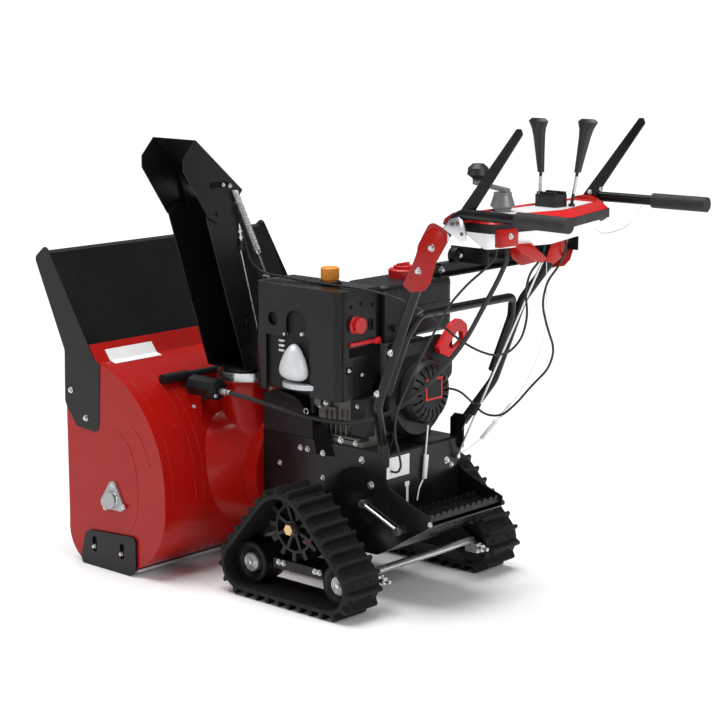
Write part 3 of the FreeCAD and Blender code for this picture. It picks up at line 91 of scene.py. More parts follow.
def addAreaLight(name, values, target):
    lamp = addLight(name, "AREA", values)
    lamp.data.shape = "SQUARE"
    lamp.data.size = values["size"]
    lamp.rotation_euler = (Vector(target) - Vector(values["place"])).to_track_quat("-Z", "Y").to_euler()


def setInputs(node, **inputs):
    # an underscore in an input's name stands for a space
    for name, value in inputs.items():
        node.inputs[name.replace("_", " ")].default_value = value
    return node


def addNode(tree, kind, operation=None, **inputs):
    node = tree.nodes.new("ShaderNode" + kind)
    if operation:
        node.operation = operation
    return setInputs(node, **inputs)


def connect(tree, *links):
    # each link: node, its output, node, its input
    for source, output, target, socket in links:
        tree.links.new(source.outputs[output], target.inputs[socket])


def makeSky(values):
    # the camera sees plain white; the object is lit more softly
    world = bpy.data.worlds.new("studioSky")
    bpy.context.scene.world = world
    world.use_nodes = True
    tree = world.node_tree
    tree.nodes.clear()
    out = addNode(tree, "OutputWorld")
    mix = addNode(tree, "MixShader")
    soft = addNode(tree, "Background", Color=values["colour"], Strength=values["strength"])
    white = addNode(tree, "Background", Color=values["shown"], Strength=1.0)
    path = addNode(tree, "LightPath")
    connect(tree, (path, "Is Camera Ray", mix, "Fac"), (soft, "Background", mix, 1), (white, "Background", mix, 2),
            (mix, "Shader", out, "Surface"))


def newMaterial(name):
    mat = bpy.data.materials.new(name)
    mat.use_nodes = True
    return mat, mat.node_tree, mat.node_tree.nodes["Principled BSDF"]


def makeFloor(values):
    bpy.ops.object.select_all(action="DESELECT")
    bpy.ops.mesh.primitive_plane_add(size=values["size"], location=(0.0, 0.0, -values["drop"]))
    floor = bpy.context.object
    floor.name = "studioFloor"
    bpy.ops.object.transform_apply(location=True, rotation=True, scale=True)
    mat, _, shader = newMaterial("floorPaper")
    setInputs(shader, Base_Color=values["colour"], Roughness=values["rough"], Specular_IOR_Level=values["specular"])
    floor.data.materials.append(mat)


makeFloor(studio["floor"])
makeSky(studio["sky"])
addSun(studio["sun"])
for lightName in ("leftLight", "rearLight"):
    addAreaLight(lightName, studio[lightName], studio["lampTarget"])
bpy.context.scene.view_settings.view_transform = "Standard"
print("studio ready")


# shader groups shared by the finishes
def newGroup(name, inputs, outputs):
    group = bpy.data.node_groups.new(name, "ShaderNodeTree")
    for socketName, value in inputs.items():
        kind = "NodeSocketVector" if isinstance(value, tuple) else "NodeSocketFloat"
        socket = group.interface.new_socket(name=socketName, in_out="INPUT", socket_type=kind)
        socket.default_value = value
    for socketName in outputs:
        group.interface.new_socket(name=socketName, in_out="OUTPUT", socket_type="NodeSocketFloat")
    return group, group.nodes.new("NodeGroupInput"), group.nodes.new("NodeGroupOutput")


def makeGrainGroup():
    # moulded or sprayed surface: fine bumps over slow waves, and a slow mottle for colour and gloss
    group, inner, outer = newGroup("surfaceGrain", {"Fine Scale": 900.0, "Wave Scale": 30.0, "Wave Share": 0.3},
                                   ("Height", "Mottle"))
    place = addNode(group, "TexCoord")
    fine = addNode(group, "TexNoise", Detail=2.0)
    wave = addNode(group, "TexNoise", Detail=3.0)
    blend = addNode(group, "Mix")
    for noise, socket in ((fine, "Fine Scale"), (wave, "Wave Scale")):
        connect(group, (place, "Object", noise, "Vector"), (inner, socket, noise, "Scale"))
    connect(group, (inner, "Wave Share", blend, 0), (fine, "Fac", blend, 2), (wave, "Fac", blend, 3),
            (blend, 0, outer, "Height"), (wave, "Fac", outer, "Mottle"))
    return group


def makeDustGroup():
    # dust that settles on faces looking up and thins out in patches
    group, inner, outer = newGroup("settledDust", dict(Amount=0.2, Scale=14.0), ("Mask",))
    place = addNode(group, "TexCoord")
    geometry = addNode(group, "NewGeometry")
    split = addNode(group, "SeparateXYZ")
    facing = addNode(group, "MapRange", From_Min=0.1, From_Max=1.0)
    patches = addNode(group, "TexNoise", Detail=5.0)
    spread = addNode(group, "MapRange", From_Min=0.35, From_Max=0.75)
    both = addNode(group, "Math", "MULTIPLY")
    share = addNode(group, "Math", "MULTIPLY")
    connect(group, (geometry, "Normal", split, "Vector"), (split, "Z", facing, "Value"),
            (place, "Object", patches, "Vector"), (inner, "Scale", patches, "Scale"), (patches, "Fac", spread, "Value"),
            (facing, "Result", both, 0), (spread, "Result", both, 1), (both, 0, share, 0), (inner, "Amount", share, 1),
            (share, 0, outer, "Mask"))
    return group


def makeBrushGroup():
    # drawn or zinc plated metal: long streaks along one axis and small pits
    group, inner, outer = newGroup("drawnMetal", {"Stretch": (6.0, 6.0, 300.0), "Pit Scale": 160.0},
                                   ("Streak", "Height"))
    place = addNode(group, "TexCoord")
    stretch = addNode(group, "VectorMath", "MULTIPLY")
    streak = addNode(group, "TexNoise", Scale=1.0, Detail=4.0)
    pits = addNode(group, "TexNoise")
    connect(group, (place, "Object", stretch, 0), (inner, "Stretch", stretch, 1), (stretch, "Vector", streak, "Vector"),
            (place, "Object", pits, "Vector"), (inner, "Pit Scale", pits, "Scale"), (streak, "Fac", outer, "Streak"),
            (pits, "Fac", outer, "Height"))
    return group


grainGroup = makeGrainGroup()
dustGroup = makeDustGroup()
brushGroup = makeBrushGroup()


def addGroup(tree, group, **inputs):
    node = tree.nodes.new("ShaderNodeGroup")
    node.node_tree = group
    return setInputs(node, **inputs)


def addGrain(tree, values):
    return addGroup(tree, grainGroup, Fine_Scale=values["fine"], Wave_Scale=values["wave"],
                    Wave_Share=values["waveShare"])


def mixColour(tree, mask, first, second):
    # each colour is a socket, red, green and blue, or one number for a grey
    node = addNode(tree, "Mix")
    node.data_type = "RGBA"
    tree.links.new(mask, node.inputs[0])
    for socket, value in ((node.inputs[6], first), (node.inputs[7], second)):
        if isinstance(value, bpy.types.NodeSocket):
            tree.links.new(value, socket)
        else:
            socket.default_value = (*(value if isinstance(value, tuple) else [value] * 3), 1)
    return node.outputs[2]


def finishSurface(tree, shader, base, tone, relief, values):
    # colour, a gloss that varies with the tone, and bumps over rounded edges
    tree.links.new(base, shader.inputs["Base Color"])
    gloss = addNode(tree, "MapRange", From_Min=0.3, From_Max=0.7, To_Min=values["rough"][0], To_Max=values["rough"][1])
    tree.links.new(tone, gloss.inputs["Value"])
    connect(tree, (gloss, "Result", shader, "Roughness"))
    bump = addNode(tree, "Bump", Strength=values["bump"], Distance=values["depth"])
    connect(tree, (relief, "Height", bump, "Height"))
    if values["softEdge"]:
        bevel = addNode(tree, "Bevel", Radius=values["softEdge"])
        bevel.samples = 4
        connect(tree, (bevel, "Normal", bump, "Normal"))
    connect(tree, (bump, "Normal", shader, "Normal"))


def sprayedOrMoulded(name, values):
    # paint, plastic and rubber: base colour with a slow mottle, grain in the bump, dust on top
    mat, tree, shader = newMaterial(name)
    grain = addGrain(tree, values)
    tone = grain.outputs["Mottle"]
    base = mixColour(tree, tone, values["dark"], values["light"])
    if values["dust"]:
        dust = addGroup(tree, dustGroup, Amount=values["dust"], Scale=values["dustScale"])
        base = mixColour(tree, dust.outputs["Mask"], base, values["dustColour"])
    finishSurface(tree, shader, base, tone, grain, values)
    setInputs(shader, Coat_Weight=values["coat"], Coat_Roughness=values["coatRough"],
              Specular_IOR_Level=values["specular"])
    return mat


def metalFinish(name, values):
    mat, tree, shader = newMaterial(name)
    brush = addGroup(tree, brushGroup, Stretch=values["stretch"], Pit_Scale=values["pits"])
    tone = brush.outputs["Streak"]
    finishSurface(tree, shader, mixColour(tree, tone, values["dark"], values["light"]), tone, brush, values)
    setInputs(shader, Metallic=values["metallic"])
    return mat


def twoToneFinish(name, values):
    # one painted or moulded colour, with a second one where the place along a line falls inside a band
    mat, tree, shader = newMaterial(name)
    grain = addGrain(tree, values)
    tone = grain.outputs["Mottle"]
    place = addNode(tree, "TexCoord")
    along = addNode(tree, "VectorMath", "DOT_PRODUCT")
    along.inputs[1].default_value = values["line"]
    size = addNode(tree, "Math", "ABSOLUTE")
    inBand = addNode(tree, "Math", "COMPARE")
    inBand.inputs[1].default_value, inBand.inputs[2].default_value = values["band"]
    metallic = addNode(tree, "Math", "MULTIPLY")
    metallic.inputs[1].default_value = values["bandMetallic"]
    connect(tree, (place, "Object", along, 0), (along, "Value", size, 0), (size, 0, inBand, 0),
            (inBand, 0, metallic, 0), (metallic, 0, shader, "Metallic"))
    first = mixColour(tree, tone, values["dark"], values["light"])
    second = mixColour(tree, tone, values["bandDark"], values["bandLight"])
    finishSurface(tree, shader, mixColour(tree, inBand.outputs[0], first, second), tone, grain, values)
    return mat


mouldedBlack = dict(dark=(0.006, 0.006, 0.0065), light=(0.011, 0.011, 0.012))
usual = dict(
    fine=900, wave=20, waveShare=0.3, depth=0.0004, softEdge=0, specular=0.5, coat=0, coatRough=0.06, dust=0,
    dustScale=14, dustColour=(0.16, 0.15, 0.14), metallic=1)
sprayed = dict(
    redPaint=dict(
        dark=(0.33, 0.004, 0.002), light=(0.4, 0.007, 0.004), fine=260, wave=9, waveShare=0.08, rough=(0.24, 0.3),
        bump=0.03, coat=0.1, specular=0.22, softEdge=0.0015),
    blackPaint=dict(
        dark=(0.004, 0.004, 0.0045), light=(0.008, 0.008, 0.009), fine=700, wave=18, waveShare=0.25, rough=(0.2, 0.32),
        bump=0.06, depth=0.0005, specular=0.26, dust=0.02, softEdge=0.0012),
    blackPlastic=dict(
        mouldedBlack, fine=1200, wave=25, waveShare=0.2, rough=(0.38, 0.52), bump=0.18, specular=0.3, dust=0.02,
        softEdge=0.0012),
    chutePlastic=dict(
        dark=0.004, light=(0.007, 0.007, 0.008), wave=12, waveShare=0.4, rough=(0.24, 0.36), bump=0.06, depth=0.0005,
        specular=0.28, softEdge=0.002),
    trackRubber=dict(
        dark=0.003, light=0.007, fine=500, wave=30, waveShare=0.4, specular=0.28, rough=(0.55, 0.72), bump=0.25,
        depth=0.0008, dust=0.05, dustColour=(0.09, 0.085, 0.08), softEdge=0.0018),
    gripRubber=dict(dark=0.01, light=0.016, fine=800, wave=40, rough=(0.55, 0.72), bump=0.2, depth=0.0005),
    redPlastic=dict(dark=(0.55, 0.008, 0.01), light=(0.66, 0.013, 0.014), rough=(0.3, 0.42), bump=0.08, softEdge=0.001),
    orangePlastic=dict(dark=(0.8, 0.27, 0.02), light=(0.9, 0.34, 0.03), rough=(0.35, 0.48), bump=0.08, softEdge=0.001),
    whitePlastic=dict(dark=(0.78, 0.78, 0.79), light=0.86, wave=10, rough=(0.28, 0.38), bump=0.05, softEdge=0.002),
    # painted shade: flat near-black standing for the shade inside holes, slots, seams and recesses
    voidBlack=dict(
        dark=0.002, light=0.004, fine=400, wave=40, rough=(0.75, 0.9), bump=0.05, depth=0.0003, specular=0.15),
    labelWhite=dict(
        dark=(0.72, 0.72, 0.71), light=0.8, fine=1500, wave=30, waveShare=0.2, rough=(0.35, 0.5), bump=0.03,
        depth=0.0002))
metals = dict(
    zincSteel=dict(
        dark=(0.5, 0.51, 0.53), light=(0.78, 0.78, 0.8), stretch=(40, 40, 240), pits=300, rough=(0.22, 0.36), bump=0.06,
        softEdge=0.0008),
    castAluminium=dict(
        dark=(0.34, 0.34, 0.35), light=(0.52, 0.52, 0.53), stretch=(60, 60, 60), pits=500, rough=(0.42, 0.58),
        bump=0.35, depth=0.0006, metallic=0.9, softEdge=0.002),
    darkSteel=dict(
        dark=(0.1, 0.09, 0.085), light=(0.2, 0.18, 0.17), stretch=(30, 30, 30), pits=160, rough=(0.38, 0.55), bump=0.15,
        depth=0.0005, softEdge=0.001),
    crankcase=dict(
        dark=(0.075, 0.072, 0.062), light=(0.19, 0.185, 0.16), stretch=(60, 60, 60), pits=500, rough=(0.45, 0.62),
        bump=0.35, depth=0.0006, metallic=0.55, softEdge=0.002),
    # grey steel, made paler and less metallic than zinc: painted reflection of the bright floor on its rear face
    scraperGrey=dict(
        dark=0.42, light=0.66, stretch=(4, 120, 120), pits=200, rough=(0.35, 0.5), bump=0.12, metallic=0.25,
        softEdge=0.001),
    # near black all over, darker than the other steels
    sootBlack=dict(
        dark=0.006, light=(0.02, 0.018, 0.017), stretch=(30, 30, 30), pits=160, rough=(0.55, 0.75), bump=0.2,
        depth=0.0005, metallic=0.3, softEdge=0.001),
    paleGuard=dict(
        dark=(0.6, 0.64, 0.66), light=(0.76, 0.79, 0.81), stretch=(20, 20, 20), pits=220, rough=(0.4, 0.52), bump=0.1,
        depth=0.0006, metallic=0.25, softEdge=0.002))
# band: its middle and half width along the line, in metres
twoTones = dict(
    wingPlates=dict(
        dark=(0.27, 0.003, 0.004), light=(0.36, 0.005, 0.006), bandDark=(0.52, 0.53, 0.55),
        bandLight=(0.74, 0.74, 0.76), line=(0, 1, 0), band=(0.553, 0.05), bandMetallic=0.9, fine=300,
        rough=(0.26, 0.36), bump=0.05),
    leverStems=dict(
        mouldedBlack, bandDark=(0.45, 0.45, 0.46), bandLight=(0.7, 0.7, 0.72), line=(0, 0, 1), band=(1.1005, 0.0215),
        bandMetallic=0.95, wave=30, rough=(0.3, 0.45), bump=0.1),
    crankGrey=dict(
        mouldedBlack, bandDark=(0.13, 0.135, 0.14), bandLight=(0.2, 0.205, 0.21), line=(0, 0, 1), band=(1.045, 0.072),
        bandMetallic=0.3, wave=30, rough=(0.36, 0.5), bump=0.1),
    axleEnds=dict(
        dark=(0.08, 0.075, 0.07), light=(0.14, 0.13, 0.12), bandDark=(0.55, 0.38, 0.16), bandLight=(0.8, 0.62, 0.34),
        line=(1, 0, 0), band=(0.32, 0.02), bandMetallic=0.8, fine=400, wave=60, rough=(0.3, 0.45), bump=0.15))
finishes = {}
for makeFinish, table in ((sprayedOrMoulded, sprayed), (metalFinish, metals), (twoToneFinish, twoTones)):
    for finishName, given in table.items():
        finishes[finishName] = makeFinish(finishName, {**usual, **given})
print("finishes ready:", len(finishes))

# which finish each solid gets
nodeFinishes = dict(
    redPaint=["auger_housing", "impeller_housing", "gearbox_bracket", "panel_brackets", "auger", "impeller"],
    blackPaint=[
        "intake_extension", "skid_shoes", "tractor_frame", "muffler_shroud", "blower_housing", "handlebar_left",
        "handlebar_right", "handlebar_crossbar", "cross_channel", "clutch_levers", "foot_pedal", "track_frames"],
    blackPlastic=[
        "chute_gearbox", "cleanout_tool", "belt_cover", "engine_controls", "fuel_tank", "recoil_cover", "panel_band",
        "idler_wheels", "drive_sprockets"],
    chutePlastic=["chute", "chute_deflector"], trackRubber=["track_left", "track_right"], gripRubber=[
        "grips", "chute_drive_shaft", "deflector_cable", "deflector_cable_end", "wiring_harness", "clutch_cable"],
    redPlastic=["stop_knob", "fuel_cap", "starter_grip", "panel_rim"], orangePlastic=["oil_cap"],
    whitePlastic=["control_panel"], scraperGrey=["scraper_bar"],
    zincSteel=["chute_ring", "deflector_spring", "link_rods", "tie_rod", "clutch_rod"],
    castAluminium=["auger_gearbox", "idler_caps", "auger_bearings"], paleGuard=["exhaust_guard"],
    crankcase=["engine_block"], sootBlack=["muffler"], axleEnds=["drive_axle"], wingPlates=["handle_brackets"],
    leverStems=["shift_levers"], crankGrey=["chute_crank"])


def dressSolids(table):
    for finishName, names in table.items():
        for name in names:
            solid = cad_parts[name]
            solid.data.materials.clear()
            solid.data.materials.append(finishes[finishName])
    dressed = {name for names in table.values() for name in names}
    print("solids without a finish:", sorted(set(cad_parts) - dressed))


dressSolids(nodeFinishes)


# modelling helpers
def startFresh():
    if bpy.context.object and bpy.context.object.mode != "OBJECT":
        bpy.ops.object.mode_set(mode="OBJECT")
    bpy.ops.object.select_all(action="DESELECT")


def pick(obj):
    bpy.ops.object.select_all(action="DESELECT")
    obj.select_set(True)
    bpy.context.view_layer.objects.active = obj


def applyAll(obj):
    pick(obj)
    bpy.ops.object.transform_apply(location=True, rotation=True, scale=True)
    return obj


def editAll(obj, *changes):
    # runs each change on the whole mesh, in edit mode
    pick(obj)
    bpy.ops.object.mode_set(mode="EDIT")
    for change in changes:
        bpy.ops.mesh.select_all(action="SELECT")
        change()
    bpy.ops.object.mode_set(mode="OBJECT")
    return obj


def bevelEdges(obj, width, segments=2):
    return editAll(obj, lambda: bpy.ops.mesh.bevel(offset=width, segments=segments, affect="EDGES", profile=0.6))


def faceOutward():
    bpy.ops.mesh.normals_make_consistent(inside=False)


def dressPiece(obj, finishName, smoothAngle):
    bpy.ops.object.shade_smooth_by_angle(angle=math.radians(smoothAngle))
    obj.data.materials.clear()
    obj.data.materials.append(finishes[finishName])


def finishPiece(obj, finishName, body="chassis", smoothAngle=35.0):
    dressPiece(applyAll(obj), finishName, smoothAngle)
    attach(obj, body)
    return obj


def joinPieces(name, pieces):
    startFresh()
    for piece in pieces:
        piece.select_set(True)
    bpy.context.view_layer.objects.active = pieces[0]
    if len(pieces) > 1:
        bpy.ops.object.join()
    pieces[0].name = name
    return pieces[0]


def makePiece(name, parts, finishName, body="chassis", smoothAngle=35.0):
    return finishPiece(joinPieces(name, parts), finishName, body, smoothAngle)


# a bevel and its segments may follow the sizes of a block or rod
def addBlock(name, low, high, *bevel):
    startFresh()
    low, high = Vector(low), Vector(high)
    bpy.ops.mesh.primitive_cube_add(size=1.0, location=(low + high) / 2)
    obj = bpy.context.object
    obj.name = name
    obj.scale = high - low
    applyAll(obj)
    return bevelEdges(obj, *bevel) if bevel else obj


def addRod(name, start, end, radius, sides=24, *bevel):
    startFresh()
    start, end = Vector(start), Vector(end)
    turn = (end - start).to_track_quat("Z", "Y").to_euler()
    bpy.ops.mesh.primitive_cone_add(vertices=sides, radius1=radius, radius2=radius,
                                    depth=(end - start).length, location=(start + end) / 2, rotation=turn)
    obj = bpy.context.object
    obj.name = name
    applyAll(obj)
    return bevelEdges(obj, *bevel) if bevel else obj


def addRing(radius, thick, steps, place=(0, 0, 0), turn=(0, 0, 0)):
    startFresh()
    bpy.ops.mesh.primitive_torus_add(major_radius=radius, minor_radius=thick, major_segments=steps, minor_segments=8,
                                     location=place, rotation=inRadians(turn))
    return bpy.context.object


def addPlate(name, axis, near, far, outline, edge=0.0008):
    # a flat plate with the given outline, cut from a filled circle and pulled out along one axis
    startFresh()
    bpy.ops.mesh.primitive_circle_add(vertices=len(outline), radius=1.0, fill_type="NGON")
    plate = bpy.context.object
    plate.name = name
    for corner, (first, second) in zip(plate.data.vertices, outline):
        corner.co = (near, first, second) if axis == "x" else (first, near, second)
    pull = (far - near, 0, 0) if axis == "x" else (0, far - near, 0)
    return editAll(plate, lambda: bpy.ops.mesh.extrude_region_move(TRANSFORM_OT_translate={"value": pull}), faceOutward,
                   lambda: bpy.ops.mesh.bevel(offset=edge, segments=2, affect="EDGES"))


def addBead(name, points, radius, sides=8):
    return [addRod(name, start, end, radius, sides) for start, end in zip(points, points[1:])]


def smoothLine(points, steps=3):
    # points in between, on a curve through the given ones
    line = []
    for i in range(len(points) - 1):
        before = Vector(points[max(i - 1, 0)])
        start, end = Vector(points[i]), Vector(points[i + 1])
        after = Vector(points[min(i + 2, len(points) - 1)])
        for k in range(steps):
            t = k / steps
            line.append(0.5 * (2 * start + (end - before) * t + (2 * before - 5 * start + 4 * end - after) * t ** 2
                               + (3 * start - before - 3 * end + after) * t ** 3))
    line.append(Vector(points[-1]))
    return line


def mirrorLine(points):
    return [(-p[0], p[1], p[2]) for p in points]


def pointAlong(place, direction):
    return Matrix.Translation(Vector(place)) @ Vector(direction).to_track_quat("Z", "Y").to_matrix().to_4x4()


def copiesAt(source, spots):
    # spots: place, the way the piece faces, turn about that line in degrees, size; the source points along +Z
    made = []
    for place, facing, spin, size in spots:
        twin = source.copy()
        twin.data = source.data.copy()
        bpy.context.scene.collection.objects.link(twin)
        spinTurn = Matrix.Rotation(math.radians(spin), 4, "Z")
        twin.matrix_world = pointAlong(place, facing) @ spinTurn @ Matrix.Scale(size, 4)
        bpy.context.view_layer.update()
        made.append(applyAll(twin))
    bpy.data.objects.remove(source)
    return made


def bothSides(spots):
    return spots + [((-p[0], p[1], p[2]), (-f[0], f[1], f[2]), spin, size) for p, f, spin, size in spots]


# bolts
bolt = dict(
    sink=0.0004, washer=0.0098, washerHeight=0.0016, washerBevel=0.0004, head=0.0075, headHeight=0.0052,
    headBevel=0.0009, shank=0.0042, shankOut=0.002)


def makeBolt(values):
    seat = (0, 0, values["washerHeight"])
    top = values["washerHeight"] + values["headHeight"]
    washer = addRod("boltWasher", (0, 0, -values["sink"]), seat, values["washer"], 24, values["washerBevel"], 1)
    head = addRod("boltHead", seat, (0, 0, top), values["head"], 6, values["headBevel"], 2)
    tip = addRod("boltTip", seat, (0, 0, top + values["shankOut"]), values["shank"], 12)
    return joinPieces("boltSource", [washer, head, tip])


def placeBolts(name, spots, finishName="zincSteel", body="chassis"):
    return makePiece(name, copiesAt(makeBolt(bolt), spots), finishName, body)


# ways a bolt or cap faces
left, right, rearward = (1, 0, 0), (-1, 0, 0), (0, 1, 0)
tubeSide = (0.95, -0.29, 0.11)


def spotsFacing(facing, rows):
    # rows: x, y, z, turn in degrees, size
    return [(row[:3], facing, row[3], row[4]) for row in rows]


def onBothSides(rows):
    return bothSides(spotsFacing(left, rows))


def addShapes(make, table):
    return [make(name, *sizes) for name, sizes in table.items()]


def addRow(name, low, high, step, count, *bevel):
    # the same block again and again, each one a step further
    low, high, step = Vector(low), Vector(high), Vector(step)
    return [addBlock(name, low + step * i, high + step * i, *bevel) for i in range(count)]


hexBolts = dict(
    plates=(
        (0.1478, -0.106, 0.3725, 10, 0.85), (0.1478, -0.08, 0.3725, 35, 0.85), (0.1478, -0.0245, 0.37, 5, 0.85),
        (0.1478, -0.0246, 0.3035, 20, 0.75), (0.1478, -0.1835, 0.318, 50, 0.75), (0.1478, 0.1143, 0.3743, 15, 0.95),
        (0.1478, 0.1457, 0.3131, 40, 1.1), (0.1478, 0.3458, 0.244, 12, 0.75), (0.4198, -0.721, 0.484, 10, 0.9),
        (0.4198, -0.66, 0.414, 30, 0.9)),
    tubes=((0.2456, 0.2983, 0.6931, 10, 0.95), (0.2448, 0.253, 0.5836, 40, 0.95)),
    skids=((0.4204, -0.6385, 0.054, 0, 0.72), (0.4204, -0.5255, 0.054, 25, 0.72)))
hexSpots = bothSides(spotsFacing(left, hexBolts["plates"]) + spotsFacing(tubeSide, hexBolts["tubes"]))
hexSpots += onBothSides(hexBolts["skids"])
placeBolts("hexBolts", hexSpots)
print("bolts placed:", len(hexSpots))

# idlers: rings and a nut on each cap, bolts on the beams, a rib round each tyre
cap = dict(
    face=0.3031, ends=(-0.141, 0.173), height=0.083, steps=40,
    rings=((0.0215, 0.0016), (0.0155, 0.0013), (0.0105, 0.0012)),
    nut=((0, 0, -0.0005), (0, 0, 0.0055), 0.0068, 6, 0.0007, 2))
tyreRib = dict(face=0.3008, ring=(0.0515, 0.0016, 48))
beamBolts = (
    (0.2879, -0.052, 0.098, 5, 0.8), (0.2879, -0.034, 0.098, 30, 0.8), (0.2879, 0.078, 0.098, 12, 0.8),
    (0.2879, 0.094, 0.098, 44, 0.8))


def idlerSpots(face):
    return bothSides(spotsFacing(left, [(face, y, cap["height"], 0, 1.0) for y in cap["ends"]]))


capParts = [addRing(radius, thick, cap["steps"]) for radius, thick in cap["rings"]] + [addRod("capNut", *cap["nut"])]
capFaces = copiesAt(joinPieces("capSource", capParts), idlerSpots(cap["face"]))
makePiece("idlerCapRings", capFaces, "zincSteel", "track_carriage")
placeBolts("beamBolts", onBothSides(beamBolts), body="track_carriage")
tyreRibs = copiesAt(addRing(*tyreRib["ring"]), idlerSpots(tyreRib["face"]))
makePiece("idlerTyreRibs", tyreRibs, "trackRubber", "track_carriage")
print("idlers dressed")

# belt studs between the tread bars; circles: y, z and radius of the rear idler, sprocket and front idler
belt = dict(
    circles=((0.173, 0.083, 0.065), (0.008, 0.201, 0.098), (-0.141, 0.083, 0.065)), count=30, middle=0.284,
    spread=0.034, stud=((0, 0, -0.001), (0, 0, 0.0032), 0.0042, 10, 0.0008, 1))


def beltStations(values):
    # points and outward directions along the belt's outer line, from the rear idler over the top
    circles = values["circles"]
    lines = []
    for here, there in zip(circles, circles[1:] + circles[:1]):
        run = math.dist(here[:2], there[:2])
        lean = (here[2] - there[2]) / run
        turn = math.atan2(there[1] - here[1], there[0] - here[0]) - math.acos(lean)
        lines.append((run * math.sqrt(1 - lean * lean), here, there, turn))
    parts = []
    for (length, here, there, turn), after in zip(lines, lines[1:] + lines[:1]):
        sweep = (after[3] - turn + math.pi) % (2 * math.pi) - math.pi
        parts += [(length, here, there, turn, 0.0), (abs(sweep) * there[2], there, there, turn, sweep)]
    step = sum(part[0] for part in parts) / values["count"]
    found = []
    for i in range(values["count"]):
        target = i * step
        for length, here, there, turn, sweep in parts:
            if target <= length:
                share = target / length
                y, z, r = (a + (b - a) * share for a, b in zip(here, there))
                ny, nz = math.cos(turn + sweep * share), math.sin(turn + sweep * share)
                found.append(((y + r * ny, z + r * nz), (ny, nz)))
                break
            target -= length
    return found


studSpots = bothSides([((belt["middle"] + across, y, z), (0, ny, nz), 0, 1) for (y, z), (ny, nz) in beltStations(belt)
                       for across in (-belt["spread"], belt["spread"])])
makePiece("beltStuds", copiesAt(addRod("studSource", *belt["stud"]), studSpots), "trackRubber", "track_carriage")
print("belt studs placed:", len(studSpots))

# exhaust guard: a smooth three-sided dome over the pipe, with a lower flange, clips and fins
guard = dict(
    low=(0.1885, -0.12, 0.566), high=(0.233, -0.027, 0.664), tip=0.62, depth=0.8, crease=0.22, levels=4,
    flange=((0, 0, 0.547), (0, 0, 0.56), 0.034, 40, 0.003, 3), flangePlace=(0.19, -0.064, 0), flangeSpread=1.7,
    clips=dict(
        clipFront=((0.1885, -0.1185, 0.6805), (0.2005, -0.1105, 0.6885), 0.001, 1),
        clipRear=((0.1885, -0.0568, 0.6865), (0.2005, -0.0488, 0.6945), 0.001, 1)),
    fins=((0.1885, -0.138, 0.636), (0.1965, -0.119, 0.642), (0, 0, 0.013), 3, 0.001, 1))


def makeGuardDome(values):
    # a three-sided cage, one corner up, smoothed and then fitted to its box
    startFresh()
    bpy.ops.mesh.primitive_cone_add(vertices=3, radius1=1.0, radius2=values["tip"], depth=values["depth"],
                                    end_fill_type="NGON", location=(0, 0, 0), rotation=inRadians((90, 0, 90)))
    dome = applyAll(bpy.context.object)
    editAll(dome, lambda: bpy.ops.transform.edge_crease(value=values["crease"]))
    smooth = dome.modifiers.new("smooth", "SUBSURF")
    smooth.levels = smooth.render_levels = values["levels"]
    bpy.ops.object.modifier_apply(modifier="smooth")
    corners = [[pickEnd(v.co[i] for v in dome.data.vertices) for i in range(3)] for pickEnd in (min, max)]
    size = [(values["high"][i] - values["low"][i]) / (corners[1][i] - corners[0][i]) for i in range(3)]
    dome.scale = size
    applyAll(dome)
    dome.location = [values["low"][i] - corners[0][i] * size[i] for i in range(3)]
    return applyAll(dome)


guardParts = [makeGuardDome(guard), addRod("guardFlange", *guard["flange"])]
guardParts[1].scale = (1.0, guard["flangeSpread"], 1.0)
applyAll(guardParts[1]).location = guard["flangePlace"]
applyAll(guardParts[1])
guardParts += addShapes(addBlock, guard["clips"]) + addRow("guardFin", *guard["fins"])
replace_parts(makePiece("exhaustGuardDome", guardParts, "paleGuard", smoothAngle=60.0), "exhaust_guard")
print("exhaust guard shaped")

# deflector spring, blended from the chute to the hood
spring = dict(
    low=(0.1323, -0.2785, 0.884), high=(0.214, -0.2785, 1.05), radius=0.0078, wire=0.0017, sides=7, turns=34, steps=10)


def makeSpring(values):
    low, high = Vector(values["low"]), Vector(values["high"])
    startFresh()
    bpy.ops.mesh.primitive_circle_add(vertices=values["sides"], radius=values["wire"],
                                      location=(values["radius"], 0, 0), rotation=inRadians((90, 0, 0)))
    coil = applyAll(bpy.context.object)
    coil.name = "deflectorSpringCoil"
    screw = coil.modifiers.new("screw", "SCREW")
    screw.angle = 2 * math.pi
    screw.screw_offset = (high - low).length / values["turns"]
    screw.iterations = values["turns"]
    screw.steps = screw.render_steps = values["steps"]
    screw.use_merge_vertices = True
    bpy.ops.object.modifier_apply(modifier="screw")
    coil.matrix_world = pointAlong(low, high - low)
    bpy.context.view_layer.update()
    return applyAll(coil)


springCoil = makeSpring(spring)
dressPiece(springCoil, "zincSteel", 60.0)
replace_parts(springCoil, "deflector_spring")
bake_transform(springCoil)

# rods and cable fittings on the chute, slot and bolts on the hood; the slot is a flat black bar of painted shade
chuteRods = dict(
    springRod=((0.1343, -0.2785, 0.888), (0.094, -0.2795, 0.806), 0.0024, 10),
    springEye=((0.094, -0.2925, 0.806), (0.094, -0.274, 0.806), 0.0062, 16),
    springSeat=((0.1283, -0.2785, 0.876), (0.1343, -0.2785, 0.888), 0.0074, 14),
    sideRod=((0.1845, -0.2905, 0.897), (0.1215, -0.2905, 0.668), 0.0016, 10),
    sideRodEye=((0.1215, -0.2929, 0.668), (0.1215, -0.2885, 0.668), 0.0046, 14),
    cableThread=((0.1885, -0.2885, 0.962), (0.1805, -0.2885, 0.905), 0.0032, 12),
    cableNutHigh=((0.1862, -0.2885, 0.944), (0.185, -0.2885, 0.936), 0.0066, 6, 0.0006, 1),
    cableNutLow=((0.1837, -0.2885, 0.927), (0.1825, -0.2885, 0.919), 0.0066, 6, 0.0006, 1))
